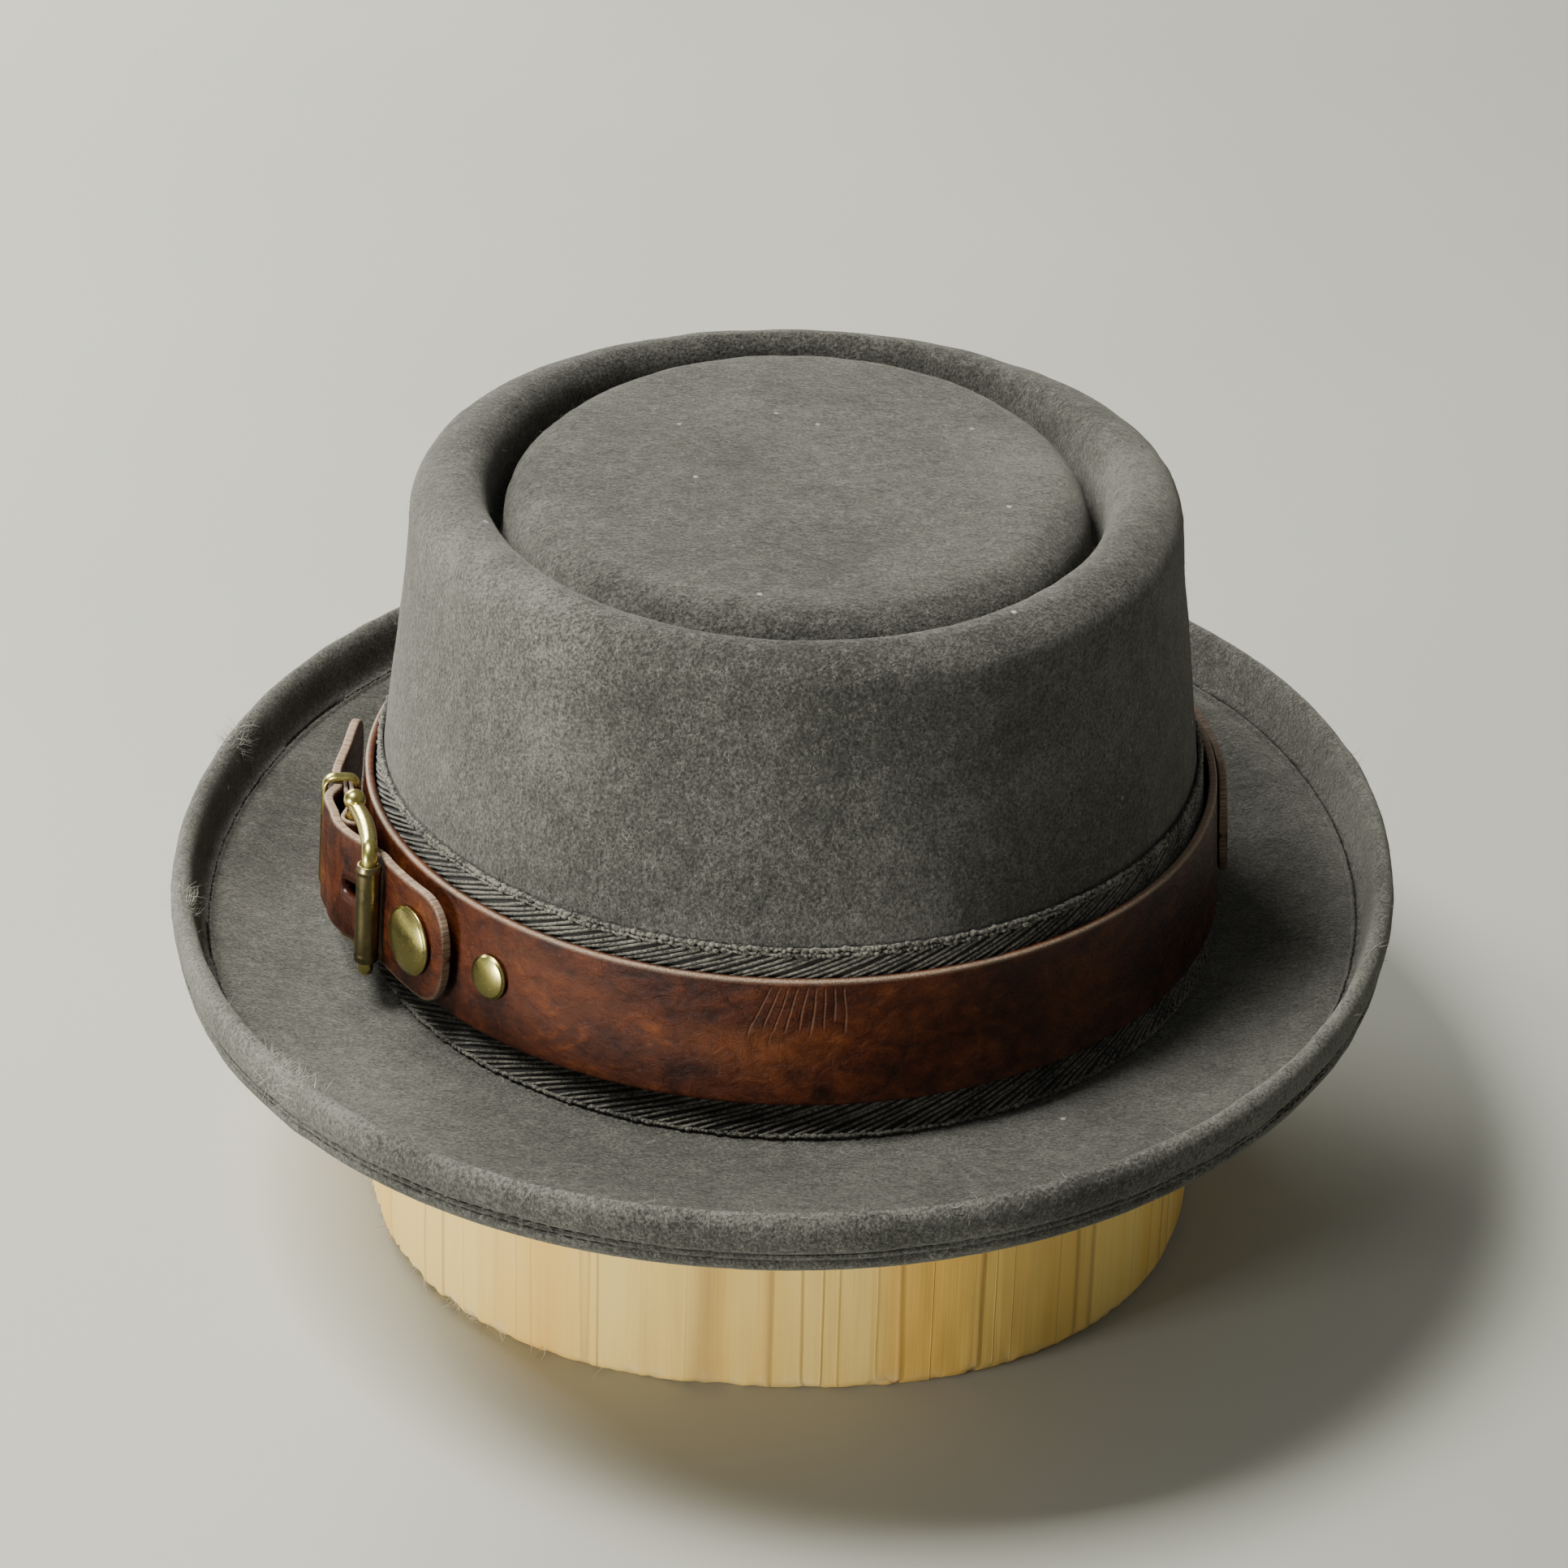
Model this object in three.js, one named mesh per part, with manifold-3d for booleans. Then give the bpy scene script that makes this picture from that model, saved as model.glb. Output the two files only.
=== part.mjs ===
// Porkpie hat with a buckled leather band, on a plain pine stand.
// Millimetres, +Z up. The origin is the middle of the stand's bottom face.
// The front of the hat looks to -Y, and its buckle is on the -X side.

import * as THREE from 'three';
import { mergeVertices } from 'three/addons/utils/BufferGeometryUtils.js';
import Module from 'manifold-3d';

const wasm = await Module();
wasm.setup();

// Crown, measured on the outside of the felt
const crownHalfWidth = 89.5;
const crownTopHalfWidth = 80;
const footOvalExtra = 10.5;
const tipOvalExtra = 6.5;
const crownHeight = 103;
const feltWall = 2.2;
const shoulderDrop = 9;
const shoulderWidth = 10.2;
const ridgeInnerWidth = 6;
const ridgeInnerDrop = 8.5;
const ridgeFrontDip = 2.2;
const ridgeBackDip = 1.1;
const footRadius = 2.5;

// Tip of the crown: the round island and the crease that runs about it
const creaseWidth = 3;
const creaseDepth = 16.2;
const islandEdgeRadius = 10;
const islandEdgeDrop = 1.8;
const islandDome = 1.2;

// How much further than the crown's oval the ridge and the island reach, to the front and the back
const ridgeReach = { front: 4, back: 2 };
const islandReach = { front: 4, back: 6 };

// Brim and its turned-up, doubled edge
const brimSideWidth = 40.0;
const brimFrontWidth = 58;
const brimSquareness = 2.05;
const brimRise = 5.8;
const rimHeight = 18.8;
const rimThickness = 4.4;
const rimFoldHeight = 7.2;
const brimTurn = THREE.MathUtils.degToRad(-5.5);
const brimSideLean = 0.8;

// Ribbon and leather band
const clearance = 0.3;
const ribbonThickness = 1.0;
const ribbonHeight = 37.5;
const bandThickness = 1.8;
const bandLow = 10.8;
const bandHeight = 26.2;
const trimMiddle = bandLow + bandHeight / 2;

// Straps on the band
const billetThickness = 2.0;
const billetHeight = 23.4;
const billetTipRun = 49.5;
const billetEndMargin = 3.4;
const billetLift = 1.4;
const billetTopLift = 1.2;
const billetTailLift = 2.8;
const chapeThickness = 1.1;
const chapeHeight = 22;
const chapeRun = 19;
const tongueSlotHeight = 3.6;
const tongueSlotLength = 12;

// Buckle, placed by the distance along the band from the front middle
const heelBarAlong = 119.2;
const buckleLength = 20.6;
const wireRadius = 1.6;
const buckleCorner = 2.6;
const heelKnobRadius = 2.3;
const rollerWall = 0.6;
const tongueWidth = 2.4;
const tongueThickness = 1.9;
const keeperGap = 14.4;
const keeperWidth = 3.2;
const keeperWall = 0.9;
const keeperCorner = 1.6;

// Rivets
const largeRivetRadius = 7.3;
const largeRivetDome = 2.2;
const smallRivetRadius = 4.7;
const smallRivetDome = 1.5;
const rivetEdge = 0.7;
const rivetBevel = 0.3;
const shankRadius = 1.8;
const rivetGap = 3.6;
const rivetSpacing = 20.8;
const chapeRivetRadius = 2.2;
const chapeRivetHead = 0.5;
const chapeRivetGap = 8;

// Tab on the other side
const tabRivetAlong = -171;
const tabHalfRun = 28;
const tabThickness = 1.8;

// Stand
const standHeight = 59;
const standHalfWidth = 89.5;
const standHalfDepth = 99;
const standSquareness = 2.3;
const standEdge = 3;
const standUpright = 35;
const plugHeight = 18;
const plugEdge = 3;

// Facets
const ovalSteps = 48;
const strapStep = 3.2;
const chapeStep = 1.5;

// Shares of the crown's height and taper, from the foot up, with "out" 1 at the foot and 0 at the shoulder
const wallShape = [
  { up: 0.13, out: 0.92 },
  { up: 0.4, out: 0.67 },
  { up: 0.65, out: 0.39 },
  { up: 0.86, out: 0.1 },
];

// Shares of the brim's width and rise, from the crown's foot to the inner foot of the rim
const brimShape = [
  { out: 0.3, up: 0.12 },
  { out: 0.62, up: 0.46 },
  { out: 0.84, up: 0.82 },
];

// The rim's section: "in" in shares of its thickness from the outermost point,
// "up" in shares from the fold's lower edge to the crest
const rimShape = [
  { in: 1.45, up: 0.0 },
  { in: 1.08, up: 0.28 },
  { in: 0.97, up: 0.66 },
  { in: 0.8, up: 0.92 },
  { in: 0.45, up: 1.0 },
  { in: 0.12, up: 0.88 },
  { in: 0.0, up: 0.66 },
  { in: 0.12, up: 0.3 },
  { in: 0.3, up: 0.02 },
  { in: 0.7, up: -0.06 },
];

// The billet's way from the roller up over the heel bar, in shares of the buckle's length and of the rise
const billetRiseShape = [
  { along: 0.41, rise: 0.4 },
  { along: 0.72, rise: 0.88 },
];

// Shares of the billet's top lift at its places along the band
const topLiftShape = { start: 0.6, roller: 1, heelBar: 0.9, end: 0.6 };

// The stand's rounded bottom edge, in shares of its radius
const standEdgeShape = [
  { in: 1, up: 0 },
  { in: 0.5, up: 0.13 },
  { in: 0.13, up: 0.5 },
  { in: 0, up: 1 },
];

const colours = {
  felt: { color: 0x6a6864, roughness: 0.95, metalness: 0 },
  twill: { color: 0x3b3a34, roughness: 0.9, metalness: 0 },
  leather: { color: 0x6b3218, roughness: 0.45, metalness: 0 },
  brass: { color: 0x9a8c50, roughness: 0.35, metalness: 1 },
  bronze: { color: 0x5c5632, roughness: 0.4, metalness: 1 },
  pine: { color: 0xe3c27c, roughness: 0.6, metalness: 0 },
};

// A place on an oval of the given half width and half depth, at an angle from the front towards -X.
// A squareness of 2 is an ellipse, and more is fuller at its corners.
function ovalPlace(halfWidth, halfDepth, angle, height, squareness = 2) {
  const fuller = (value) => Math.sign(value) * Math.abs(value) ** (2 / squareness);
  const x = -halfWidth * fuller(Math.sin(angle));
  const y = -halfDepth * fuller(Math.cos(angle));
  return new THREE.Vector3(x, y, height);
}

function ovalRing(halfWidth, halfDepth, height, squareness) {
  const ring = [];
  for (let i = 0; i < ovalSteps; i += 1) {
    ring.push(ovalPlace(halfWidth, halfDepth, (i / ovalSteps) * 2 * Math.PI, height, squareness));
  }
  return ring;
}

// Points on a quarter or half round, angles in degrees, both ends included
function roundPoints(centre, radii, from, to, steps) {
  const points = [];
  for (let i = 0; i <= steps; i += 1) {
    const angle = THREE.MathUtils.degToRad(from + ((to - from) * i) / steps);
    points.push({ w: centre.w + radii.w * Math.cos(angle), h: centre.h + radii.h * Math.sin(angle) });
  }
  return points;
}

function clamp01(value) {
  return THREE.MathUtils.clamp(value, 0, 1);
}

// A closed mesh from a list of vertices and triangles, turned the right way out
function closedGeometry(vertices, triangles) {
  let volume = 0;
  for (const [a, b, c] of triangles) {
    volume += vertices[a].dot(new THREE.Vector3().crossVectors(vertices[b], vertices[c]));
  }
  const order = volume < 0 ? triangles.map(([a, b, c]) => [a, c, b]) : triangles;
  const geometry = new THREE.BufferGeometry();
  const positions = vertices.flatMap((vertex) => vertex.toArray());
  geometry.setAttribute('position', new THREE.Float32BufferAttribute(positions, 3));
  geometry.setIndex(order.flat());
  return geometry;
}

// Triangles between neighbouring rings of equal length
function bandTriangles(ringCount, ringLength, closesUp) {
  const triangles = [];
  const spans = closesUp ? ringCount : ringCount - 1;
  for (let ring = 0; ring < spans; ring += 1) {
    const next = (ring + 1) % ringCount;
    for (let i = 0; i < ringLength; i += 1) {
      const j = (i + 1) % ringLength;
      const here = ring * ringLength;
      const there = next * ringLength;
      triangles.push([here + i, here + j, there + j], [here + i, there + j, there + i]);
    }
  }
  return triangles;
}

// A body from a stack of rings with a middle point at each end
function cappedRings(firstMiddle, rings, lastMiddle) {
  const length = rings[0].length;
  const vertices = [...rings.flat(), firstMiddle, lastMiddle];
  const triangles = bandTriangles(rings.length, length, false);
  const first = vertices.length - 2;
  const last = vertices.length - 1;
  const lastRing = (rings.length - 1) * length;
  for (let i = 0; i < length; i += 1) {
    const j = (i + 1) % length;
    triangles.push([first, j, i], [last, lastRing + i, lastRing + j]);
  }
  return closedGeometry(vertices, triangles);
}

// A ring-shaped body whose section goes round and closes on itself
function loopedRings(rings) {
  return closedGeometry(rings.flat(), bandTriangles(rings.length, rings[0].length, true));
}

function toSolid(geometry) {
  const bare = geometry.clone();
  bare.deleteAttribute('normal');
  bare.deleteAttribute('uv');
  const merged = mergeVertices(bare, 1e-4);
  return new wasm.Manifold(new wasm.Mesh({
    numProp: 3,
    vertProperties: new Float32Array(merged.attributes.position.array),
    triVerts: new Uint32Array(merged.index.array),
  }));
}

function toGeometry(solid) {
  const mesh = solid.getMesh();
  const geometry = new THREE.BufferGeometry();
  geometry.setAttribute('position', new THREE.BufferAttribute(new Float32Array(mesh.vertProperties), 3));
  geometry.setIndex(new THREE.BufferAttribute(new Uint32Array(mesh.triVerts), 1));
  return geometry;
}

// Cuts each tool away from a body
function cut(geometry, ...tools) {
  return toGeometry(tools.reduce((solid, tool) => solid.subtract(toSolid(tool)), toSolid(geometry)));
}

function join(geometry, ...others) {
  return toGeometry(others.reduce((solid, other) => solid.add(toSolid(other)), toSolid(geometry)));
}

// The outside of the crown's wall at a height above the brim
const shoulderHeight = crownHeight - shoulderDrop;
const footHeight = feltWall + footRadius;
const crownTaper = crownHalfWidth - crownTopHalfWidth;
const wallRows = [
  { w: crownHalfWidth, h: footHeight },
  ...wallShape.map((row) => ({ w: crownTopHalfWidth + crownTaper * row.out, h: shoulderHeight * row.up })),
  { w: crownTopHalfWidth, h: shoulderHeight },
];

function crownWallAt(height) {
  const clear = Math.max(height, footHeight);
  let row = 1;
  while (row < wallRows.length - 1 && wallRows[row].h < clear) row += 1;
  const low = wallRows[row - 1];
  const high = wallRows[row];
  return THREE.MathUtils.mapLinear(clear, low.h, high.h, low.w, high.w);
}

// How much deeper than wide the crown's oval is at a height, from middle to front
function ovalExtraAt(height) {
  return THREE.MathUtils.lerp(footOvalExtra, tipOvalExtra, height / crownHeight);
}

// The felt's outer face, from the middle of the tip out to the inner foot of the rim
const ridgeHalfWidth = crownTopHalfWidth - shoulderWidth;
const creaseOuter = ridgeHalfWidth - ridgeInnerWidth;
const islandHalfWidth = creaseOuter - creaseWidth;
const creaseRadius = creaseWidth / 2;
const creaseFloor = crownHeight - creaseDepth + creaseRadius;
const islandEdgeTop = crownHeight - islandEdgeDrop;
const islandFlat = islandHalfWidth - islandEdgeRadius;
const brimTop = feltWall;
const rimOuter = crownHalfWidth + brimSideWidth;
const rimSpan = rimHeight - rimFoldHeight;

function rimRow(row) {
  return { w: rimOuter - rimThickness * row.in, h: rimFoldHeight + rimSpan * row.up };
}

function feltFace() {
  const creaseRound = { w: creaseRadius, h: creaseRadius };
  const islandRound = { w: islandEdgeRadius, h: islandEdgeRadius };
  const ridgeInner = { w: ridgeInnerWidth, h: ridgeInnerDrop };
  const shoulder = { w: shoulderWidth, h: shoulderDrop };
  const footRound = { w: footRadius, h: footRadius };
  const footPlace = { w: crownHalfWidth + footRadius, h: brimTop + footRadius };
  const brimReach = rimOuter - rimThickness * rimShape[0].in - footPlace.w;
  return [
    { w: islandFlat / 2, h: islandEdgeTop + islandDome * 0.75 },
    ...roundPoints({ w: islandFlat, h: islandEdgeTop - islandEdgeRadius }, islandRound, 90, 0, 3),
    ...roundPoints({ w: islandHalfWidth + creaseRadius, h: creaseFloor }, creaseRound, 180, 360, 4),
    ...roundPoints({ w: ridgeHalfWidth, h: crownHeight - ridgeInnerDrop }, ridgeInner, 180, 90, 3),
    ...roundPoints({ w: ridgeHalfWidth, h: shoulderHeight }, shoulder, 90, 0, 4).slice(1),
    ...wallRows.slice(1, -1).reverse(),
    ...roundPoints(footPlace, footRound, 180, 270, 2),
    ...brimShape.map((row) => ({ w: footPlace.w + brimReach * row.out, h: brimTop + brimRise * row.up })),
  ];
}

// The same face moved one wall inwards
function innerFace(outer, thickness) {
  return outer.map((row, i) => {
    const before = outer[Math.max(i - 1, 0)];
    const after = outer[Math.min(i + 1, outer.length - 1)];
    const along = new THREE.Vector2(after.w - before.w, after.h - before.h).normalize();
    return { w: row.w + along.y * thickness, h: row.h - along.x * thickness };
  });
}

// One ring of the felt: the tip's oval is the longer one, its ridge dips at the front and back,
// and the brim's oval grows deeper, turns and leans a little towards the rim
function feltRing(row) {
  const island = Math.min(1, row.w / islandFlat);
  const tip = clamp01((crownTopHalfWidth - feltWall * 1.5 - row.w) / (shoulderWidth - feltWall * 0.5));
  const inner = clamp01((crownTopHalfWidth - shoulderWidth - row.w) / (ridgeInnerWidth + creaseWidth));
  const reach = {
    front: THREE.MathUtils.lerp(ridgeReach.front * tip, islandReach.front, inner) * island,
    back: THREE.MathUtils.lerp(ridgeReach.back * tip, islandReach.back, inner) * island,
  };
  const ridge = row.w > islandHalfWidth ? clamp01((row.h - shoulderHeight) / shoulderDrop) : 0;
  const brim = clamp01((row.w - crownHalfWidth) / (brimSideWidth - rimThickness));
  const crownExtra = ovalExtraAt(row.h) * island + (reach.front + reach.back) / 2;
  const halfDepth = row.w + crownExtra + (brimFrontWidth - brimSideWidth) * brim;
  const ring = ovalRing(row.w, halfDepth, standHeight + row.h, 2 + (brimSquareness - 2) * brim);
  for (const place of ring) {
    place.z -= ridgeFrontDip * ridge * clamp01(-place.y / halfDepth) ** 2;
    place.z -= ridgeBackDip * ridge * clamp01(place.y / halfDepth) ** 2;
    place.y += (reach.back - reach.front) / 2;
    place.z -= (brimSideLean * brim * place.x) / rimOuter;
    place.applyAxisAngle(new THREE.Vector3(0, 0, 1), brimTurn * brim);
  }
  return ring;
}

function feltBody() {
  const outer = feltFace();
  const inner = innerFace(outer, feltWall).reverse();
  const rows = [...outer, ...rimShape.map(rimRow), ...inner];
  const top = standHeight + islandEdgeTop + islandDome;
  const middle = new THREE.Vector3(0, 0, top);
  return cappedRings(middle, rows.map(feltRing), middle.clone().setZ(top - feltWall));
}

// Ribbon and leather band, which lie one on the other round the crown
const ribbonOutset = clearance + ribbonThickness;
const bandInset = ribbonOutset + clearance;
const bandOutset = bandInset + bandThickness;

function crownLoop(heights, innerOutset, outerOutset) {
  const rows = [
    ...heights.map((h) => ({ w: crownWallAt(h) + innerOutset, h })),
    ...heights.map((h) => ({ w: crownWallAt(h) + outerOutset, h })).reverse(),
  ];
  return loopedRings(rows.map((row) => ovalRing(row.w, row.w + ovalExtraAt(row.h), standHeight + row.h)));
}

// Distances along the band's outer oval, turned into angles
const bandMiddleHalfWidth = crownWallAt(trimMiddle) + bandOutset;
const bandMiddleHalfDepth = bandMiddleHalfWidth + ovalExtraAt(trimMiddle);
const arcSteps = 1440;
const arcTable = [{ angle: 0, along: 0 }];
for (let i = 1; i <= arcSteps; i += 1) {
  const angle = (i / arcSteps) * Math.PI;
  const speed = Math.hypot(
    bandMiddleHalfWidth * Math.cos(angle),
    bandMiddleHalfDepth * Math.sin(angle),
  );
  arcTable.push({ angle, along: arcTable[i - 1].along + (speed * Math.PI) / arcSteps });
}

function angleAt(along) {
  const distance = Math.abs(along);
  let i = 1;
  while (i < arcSteps && arcTable[i].along < distance) i += 1;
  const low = arcTable[i - 1];
  const high = arcTable[i];
  const angle = THREE.MathUtils.mapLinear(distance, low.along, high.along, low.angle, high.angle);
  return Math.sign(along) * angle;
}

// A place at a distance along the band, straight out from its face, and up from its middle line
const bandSlope = (crownWallAt(trimMiddle + bandHeight / 2) - crownWallAt(bandLow)) / bandHeight;

function bandPlace(along, out, up) {
  const angle = angleAt(along);
  const halfWidth = bandMiddleHalfWidth + bandSlope * up;
  const halfDepth = halfWidth + ovalExtraAt(trimMiddle + up);
  const normal = ovalPlace(halfDepth, halfWidth, angle, 0).normalize();
  normal.setZ(-bandSlope).normalize();
  return ovalPlace(halfWidth, halfDepth, angle, standHeight + trimMiddle + up).addScaledVector(normal, out);
}

// Distances along the band
const rollerRadius = wireRadius + clearance + rollerWall;
const rollerAlong = heelBarAlong - buckleLength;
const largeRivetAlong = rollerAlong - rollerRadius - rivetGap - largeRivetRadius;
const smallRivetAlong = largeRivetAlong - rivetSpacing;
const billetStart = largeRivetAlong - largeRivetRadius - billetEndMargin;
const billetEnd = heelBarAlong + billetTipRun;
const keeperAlong = heelBarAlong + keeperGap;
const chapeEnd = heelBarAlong + chapeRun;
const chapeRivetAlong = heelBarAlong + chapeRivetGap;

// How much more the straps at the buckle stand off at their top edge than at their bottom edge
const topLiftRows = [
  { along: billetStart, share: topLiftShape.start },
  { along: rollerAlong, share: topLiftShape.roller },
  { along: heelBarAlong, share: topLiftShape.heelBar },
  { along: billetEnd, share: topLiftShape.end },
];

function topLiftAt(along) {
  let row = 1;
  while (row < topLiftRows.length - 1 && topLiftRows[row].along < along) row += 1;
  const low = topLiftRows[row - 1];
  const high = topLiftRows[row];
  return billetTopLift * THREE.MathUtils.mapLinear(along, low.along, high.along, low.share, high.share);
}

// The same place on the straps at the buckle, which lean away from the band towards their top
function strapPlace(along, out, up) {
  return bandPlace(along, out + topLiftAt(along) * Math.max(0, up / billetHeight + 0.5), up);
}

// Local directions at a place: x back along the band, y out of it, z up its face
function axesAt(placeAt, along, out) {
  const z = placeAt(along, out, 1).sub(placeAt(along, out, -1)).normalize();
  const x = placeAt(along + 1, out, 0).sub(placeAt(along - 1, out, 0)).normalize();
  const y = new THREE.Vector3().crossVectors(z, x).normalize();
  x.crossVectors(y, z).normalize();
  return new THREE.Matrix4().makeBasis(x, y, z).setPosition(placeAt(along, out, 0));
}

// A strap that lies along the band. Its path gives the distance along and the height of its inner face,
// and both its ends are round where a radius is given.
function strap(placeAt, path, thickness, height, endRadius, step) {
  const points = path.map((point) => new THREE.Vector3(point.along, point.out, 0));
  const curve = new THREE.CatmullRomCurve3(points, false, 'centripetal');
  const length = curve.getLength();
  const steps = Math.ceil(length / step);
  const shares = [];
  const endSteps = 5;
  const firstTurn = THREE.MathUtils.degToRad(8);
  for (let i = 0; i < endSteps; i += 1) {
    const turn = THREE.MathUtils.lerp(firstTurn, Math.PI / 2, i / (endSteps - 1));
    const inset = (endRadius * (1 - Math.cos(turn))) / length;
    if (endRadius) shares.push(inset, 1 - inset);
  }
  for (let i = 0; i <= steps; i += 1) {
    const distance = (i / steps) * length;
    if (Math.min(distance, length - distance) > endRadius || !endRadius) shares.push(i / steps);
  }
  shares.sort((a, b) => a - b);
  const rings = shares.map((share) => {
    const point = curve.getPointAt(share);
    const tangent = curve.getTangentAt(share);
    const normal = { along: -tangent.y, out: tangent.x };
    const nearEnd = Math.min(share, 1 - share) * length;
    const inset = endRadius ? Math.min(nearEnd / endRadius, 1) : 1;
    const half = (height / 2) * Math.sqrt(1 - (1 - inset) ** 2);
    const outerAlong = point.x + normal.along * thickness;
    const outerOut = point.y + normal.out * thickness;
    return [
      placeAt(point.x, point.y, -half),
      placeAt(point.x, point.y, half),
      placeAt(outerAlong, outerOut, half),
      placeAt(outerAlong, outerOut, -half),
    ];
  });
  const middle = (ring) => (
    ring.reduce((sum, corner) => sum.add(corner), new THREE.Vector3()).divideScalar(ring.length));
  return cappedRings(middle(rings[0]), rings, middle(rings[rings.length - 1]));
}

// A round pin through the straps, for cutting holes and making shanks
function pin(axes, radius, from, to) {
  const geometry = new THREE.CylinderGeometry(radius, radius, to - from, 12);
  geometry.translate(0, (from + to) / 2, 0);
  return geometry.applyMatrix4(axes);
}

// A pin for the hole of a rivet whose cap lies on a face: it goes through all that the rivet holds
function holePin(placeAt, along, face, radius) {
  return pin(axesAt(placeAt, along, face), radius + clearance, -face - bandThickness - billetTopLift, 1);
}

// A domed rivet: its cap lies on a face and its shank goes in
function rivet(axes, radius, edge, dome, shank, depth) {
  const profile = [[0, -depth], [shank, -depth], [shank, 0], [radius - rivetBevel, 0], [radius, edge / 2]];
  const domeSteps = 3;
  for (let i = 0; i < domeSteps; i += 1) {
    const lean = (i / domeSteps) * (Math.PI / 2);
    profile.push([(radius - rivetBevel) * Math.cos(lean), edge + (dome - edge) * Math.sin(lean)]);
  }
  profile.push([0, dome]);
  const geometry = new THREE.LatheGeometry(profile.map(([x, y]) => new THREE.Vector2(x, y)), 14);
  return geometry.applyMatrix4(axes);
}

// Heights of the layers above the band's face
const chapeInner = clearance + keeperWall + clearance;
const heelBarOut = clearance + chapeThickness + clearance + wireRadius;
const chapeBend = wireRadius + clearance;
const billetOverBar = heelBarOut + chapeBend + chapeThickness + clearance;
const chapeStackOut = chapeInner + chapeThickness + clearance + chapeThickness;
const billetUnderKeeper = chapeStackOut + clearance;
const billetOverRivet = chapeStackOut + clearance + chapeRivetHead + clearance * 1.5;
const rollerInner = wireRadius + clearance;
const billetLow = clearance + billetLift;
const rollerOut = billetLow + billetThickness + clearance + rollerRadius;
const largeRivetFace = billetLow + billetThickness + clearance;
const tabRivetFace = clearance + tabThickness + clearance;
const chapeRivetFace = chapeStackOut + clearance;
const billetRise = billetOverBar - billetLow;
const billetRiseRows = billetRiseShape.map((row) => (
  { along: rollerAlong + buckleLength * row.along, out: billetLow + billetRise * row.rise }));
const holeAlong = billetRiseRows[0].along;
const holeOut = billetRiseRows[0].out + billetThickness / 2;

const billetPath = [
  { along: billetStart, out: billetLow },
  { along: largeRivetAlong, out: billetLow },
  { along: rollerAlong - rollerRadius, out: billetLow },
  { along: rollerAlong + rollerRadius, out: billetLow },
  ...billetRiseRows,
  { along: heelBarAlong - wireRadius, out: billetOverBar },
  { along: heelBarAlong + wireRadius, out: billetOverBar - clearance / 2 },
  { along: chapeRivetAlong, out: billetOverRivet },
  { along: keeperAlong - keeperWidth / 2, out: billetUnderKeeper },
  { along: keeperAlong + keeperWidth / 2, out: billetUnderKeeper },
  { along: chapeEnd + clearance, out: billetUnderKeeper },
  { along: chapeEnd + billetTipRun / 4, out: billetTailLift },
  { along: billetEnd, out: billetTailLift },
];

// The chape goes in under the keeper, round the front of the heel bar, and back over itself.
// Its rivet holds both layers between the bar and the keeper.
function chapePath() {
  const lowerOut = chapeInner + chapeThickness;
  const upperOut = lowerOut + clearance;
  const bend = [];
  const bendSteps = 6;
  for (let i = 0; i <= bendSteps; i += 1) {
    const angle = (i / bendSteps - 0.5) * Math.PI;
    bend.push({
      along: heelBarAlong - chapeBend * Math.cos(angle),
      out: heelBarOut + chapeBend * Math.sin(angle),
    });
  }
  const start = chapeRivetAlong - chapeRivetRadius - clearance;
  return [
    { along: chapeEnd, out: lowerOut },
    { along: keeperAlong, out: lowerOut },
    { along: start, out: lowerOut },
    ...bend,
    { along: start, out: upperOut },
    { along: keeperAlong, out: upperOut },
    { along: chapeEnd, out: upperOut },
  ];
}

// The buckle's plane holds the heel bar and the roller bar
function buckleAxes() {
  const heel = strapPlace(heelBarAlong, heelBarOut, 0);
  const front = strapPlace(rollerAlong, rollerOut, 0);
  const z = strapPlace(heelBarAlong, heelBarOut, 1).sub(heel);
  z.add(strapPlace(rollerAlong, rollerOut, 1).sub(front)).normalize();
  const x = front.clone().sub(heel);
  const length = x.length();
  x.normalize();
  const y = new THREE.Vector3().crossVectors(z, x).normalize();
  z.crossVectors(x, y);
  return { matrix: new THREE.Matrix4().makeBasis(x, y, z).setPosition(heel), length };
}

const buckleInnerHalf = billetHeight / 2 + clearance * 2;
const buckleSide = buckleInnerHalf + wireRadius;

function buckleFrame() {
  const { matrix, length } = buckleAxes();
  const corner = buckleCorner;
  const side = buckleSide;
  const path = [];
  const corners = [
    { x: length - corner, z: side - corner, from: 0 },
    { x: corner, z: side - corner, from: 90 },
    { x: corner, z: corner - side, from: 180 },
    { x: length - corner, z: corner - side, from: 270 },
  ];
  for (const { x, z, from } of corners) {
    for (const step of [0, 30, 60, 90]) {
      const angle = THREE.MathUtils.degToRad(from + step);
      const place = new THREE.Vector3(x + corner * Math.cos(angle), 0, z + corner * Math.sin(angle));
      path.push({ place, outward: new THREE.Vector3(Math.cos(angle), 0, Math.sin(angle)) });
    }
  }
  const wireSides = 8;
  const rings = path.map(({ place, outward }) => {
    const ring = [];
    for (let i = 0; i < wireSides; i += 1) {
      const angle = (i / wireSides) * 2 * Math.PI;
      const offset = outward.clone().multiplyScalar(wireRadius * Math.cos(angle));
      offset.y += wireRadius * Math.sin(angle);
      ring.push(place.clone().add(offset));
    }
    return ring;
  });
  const knobs = [1, -1].map((end) => {
    const knob = new THREE.SphereGeometry(heelKnobRadius, 8, 6);
    return knob.translate(0, 0, end * (side + wireRadius * 0.6));
  });
  return join(loopedRings(rings), ...knobs).applyMatrix4(matrix);
}

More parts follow.
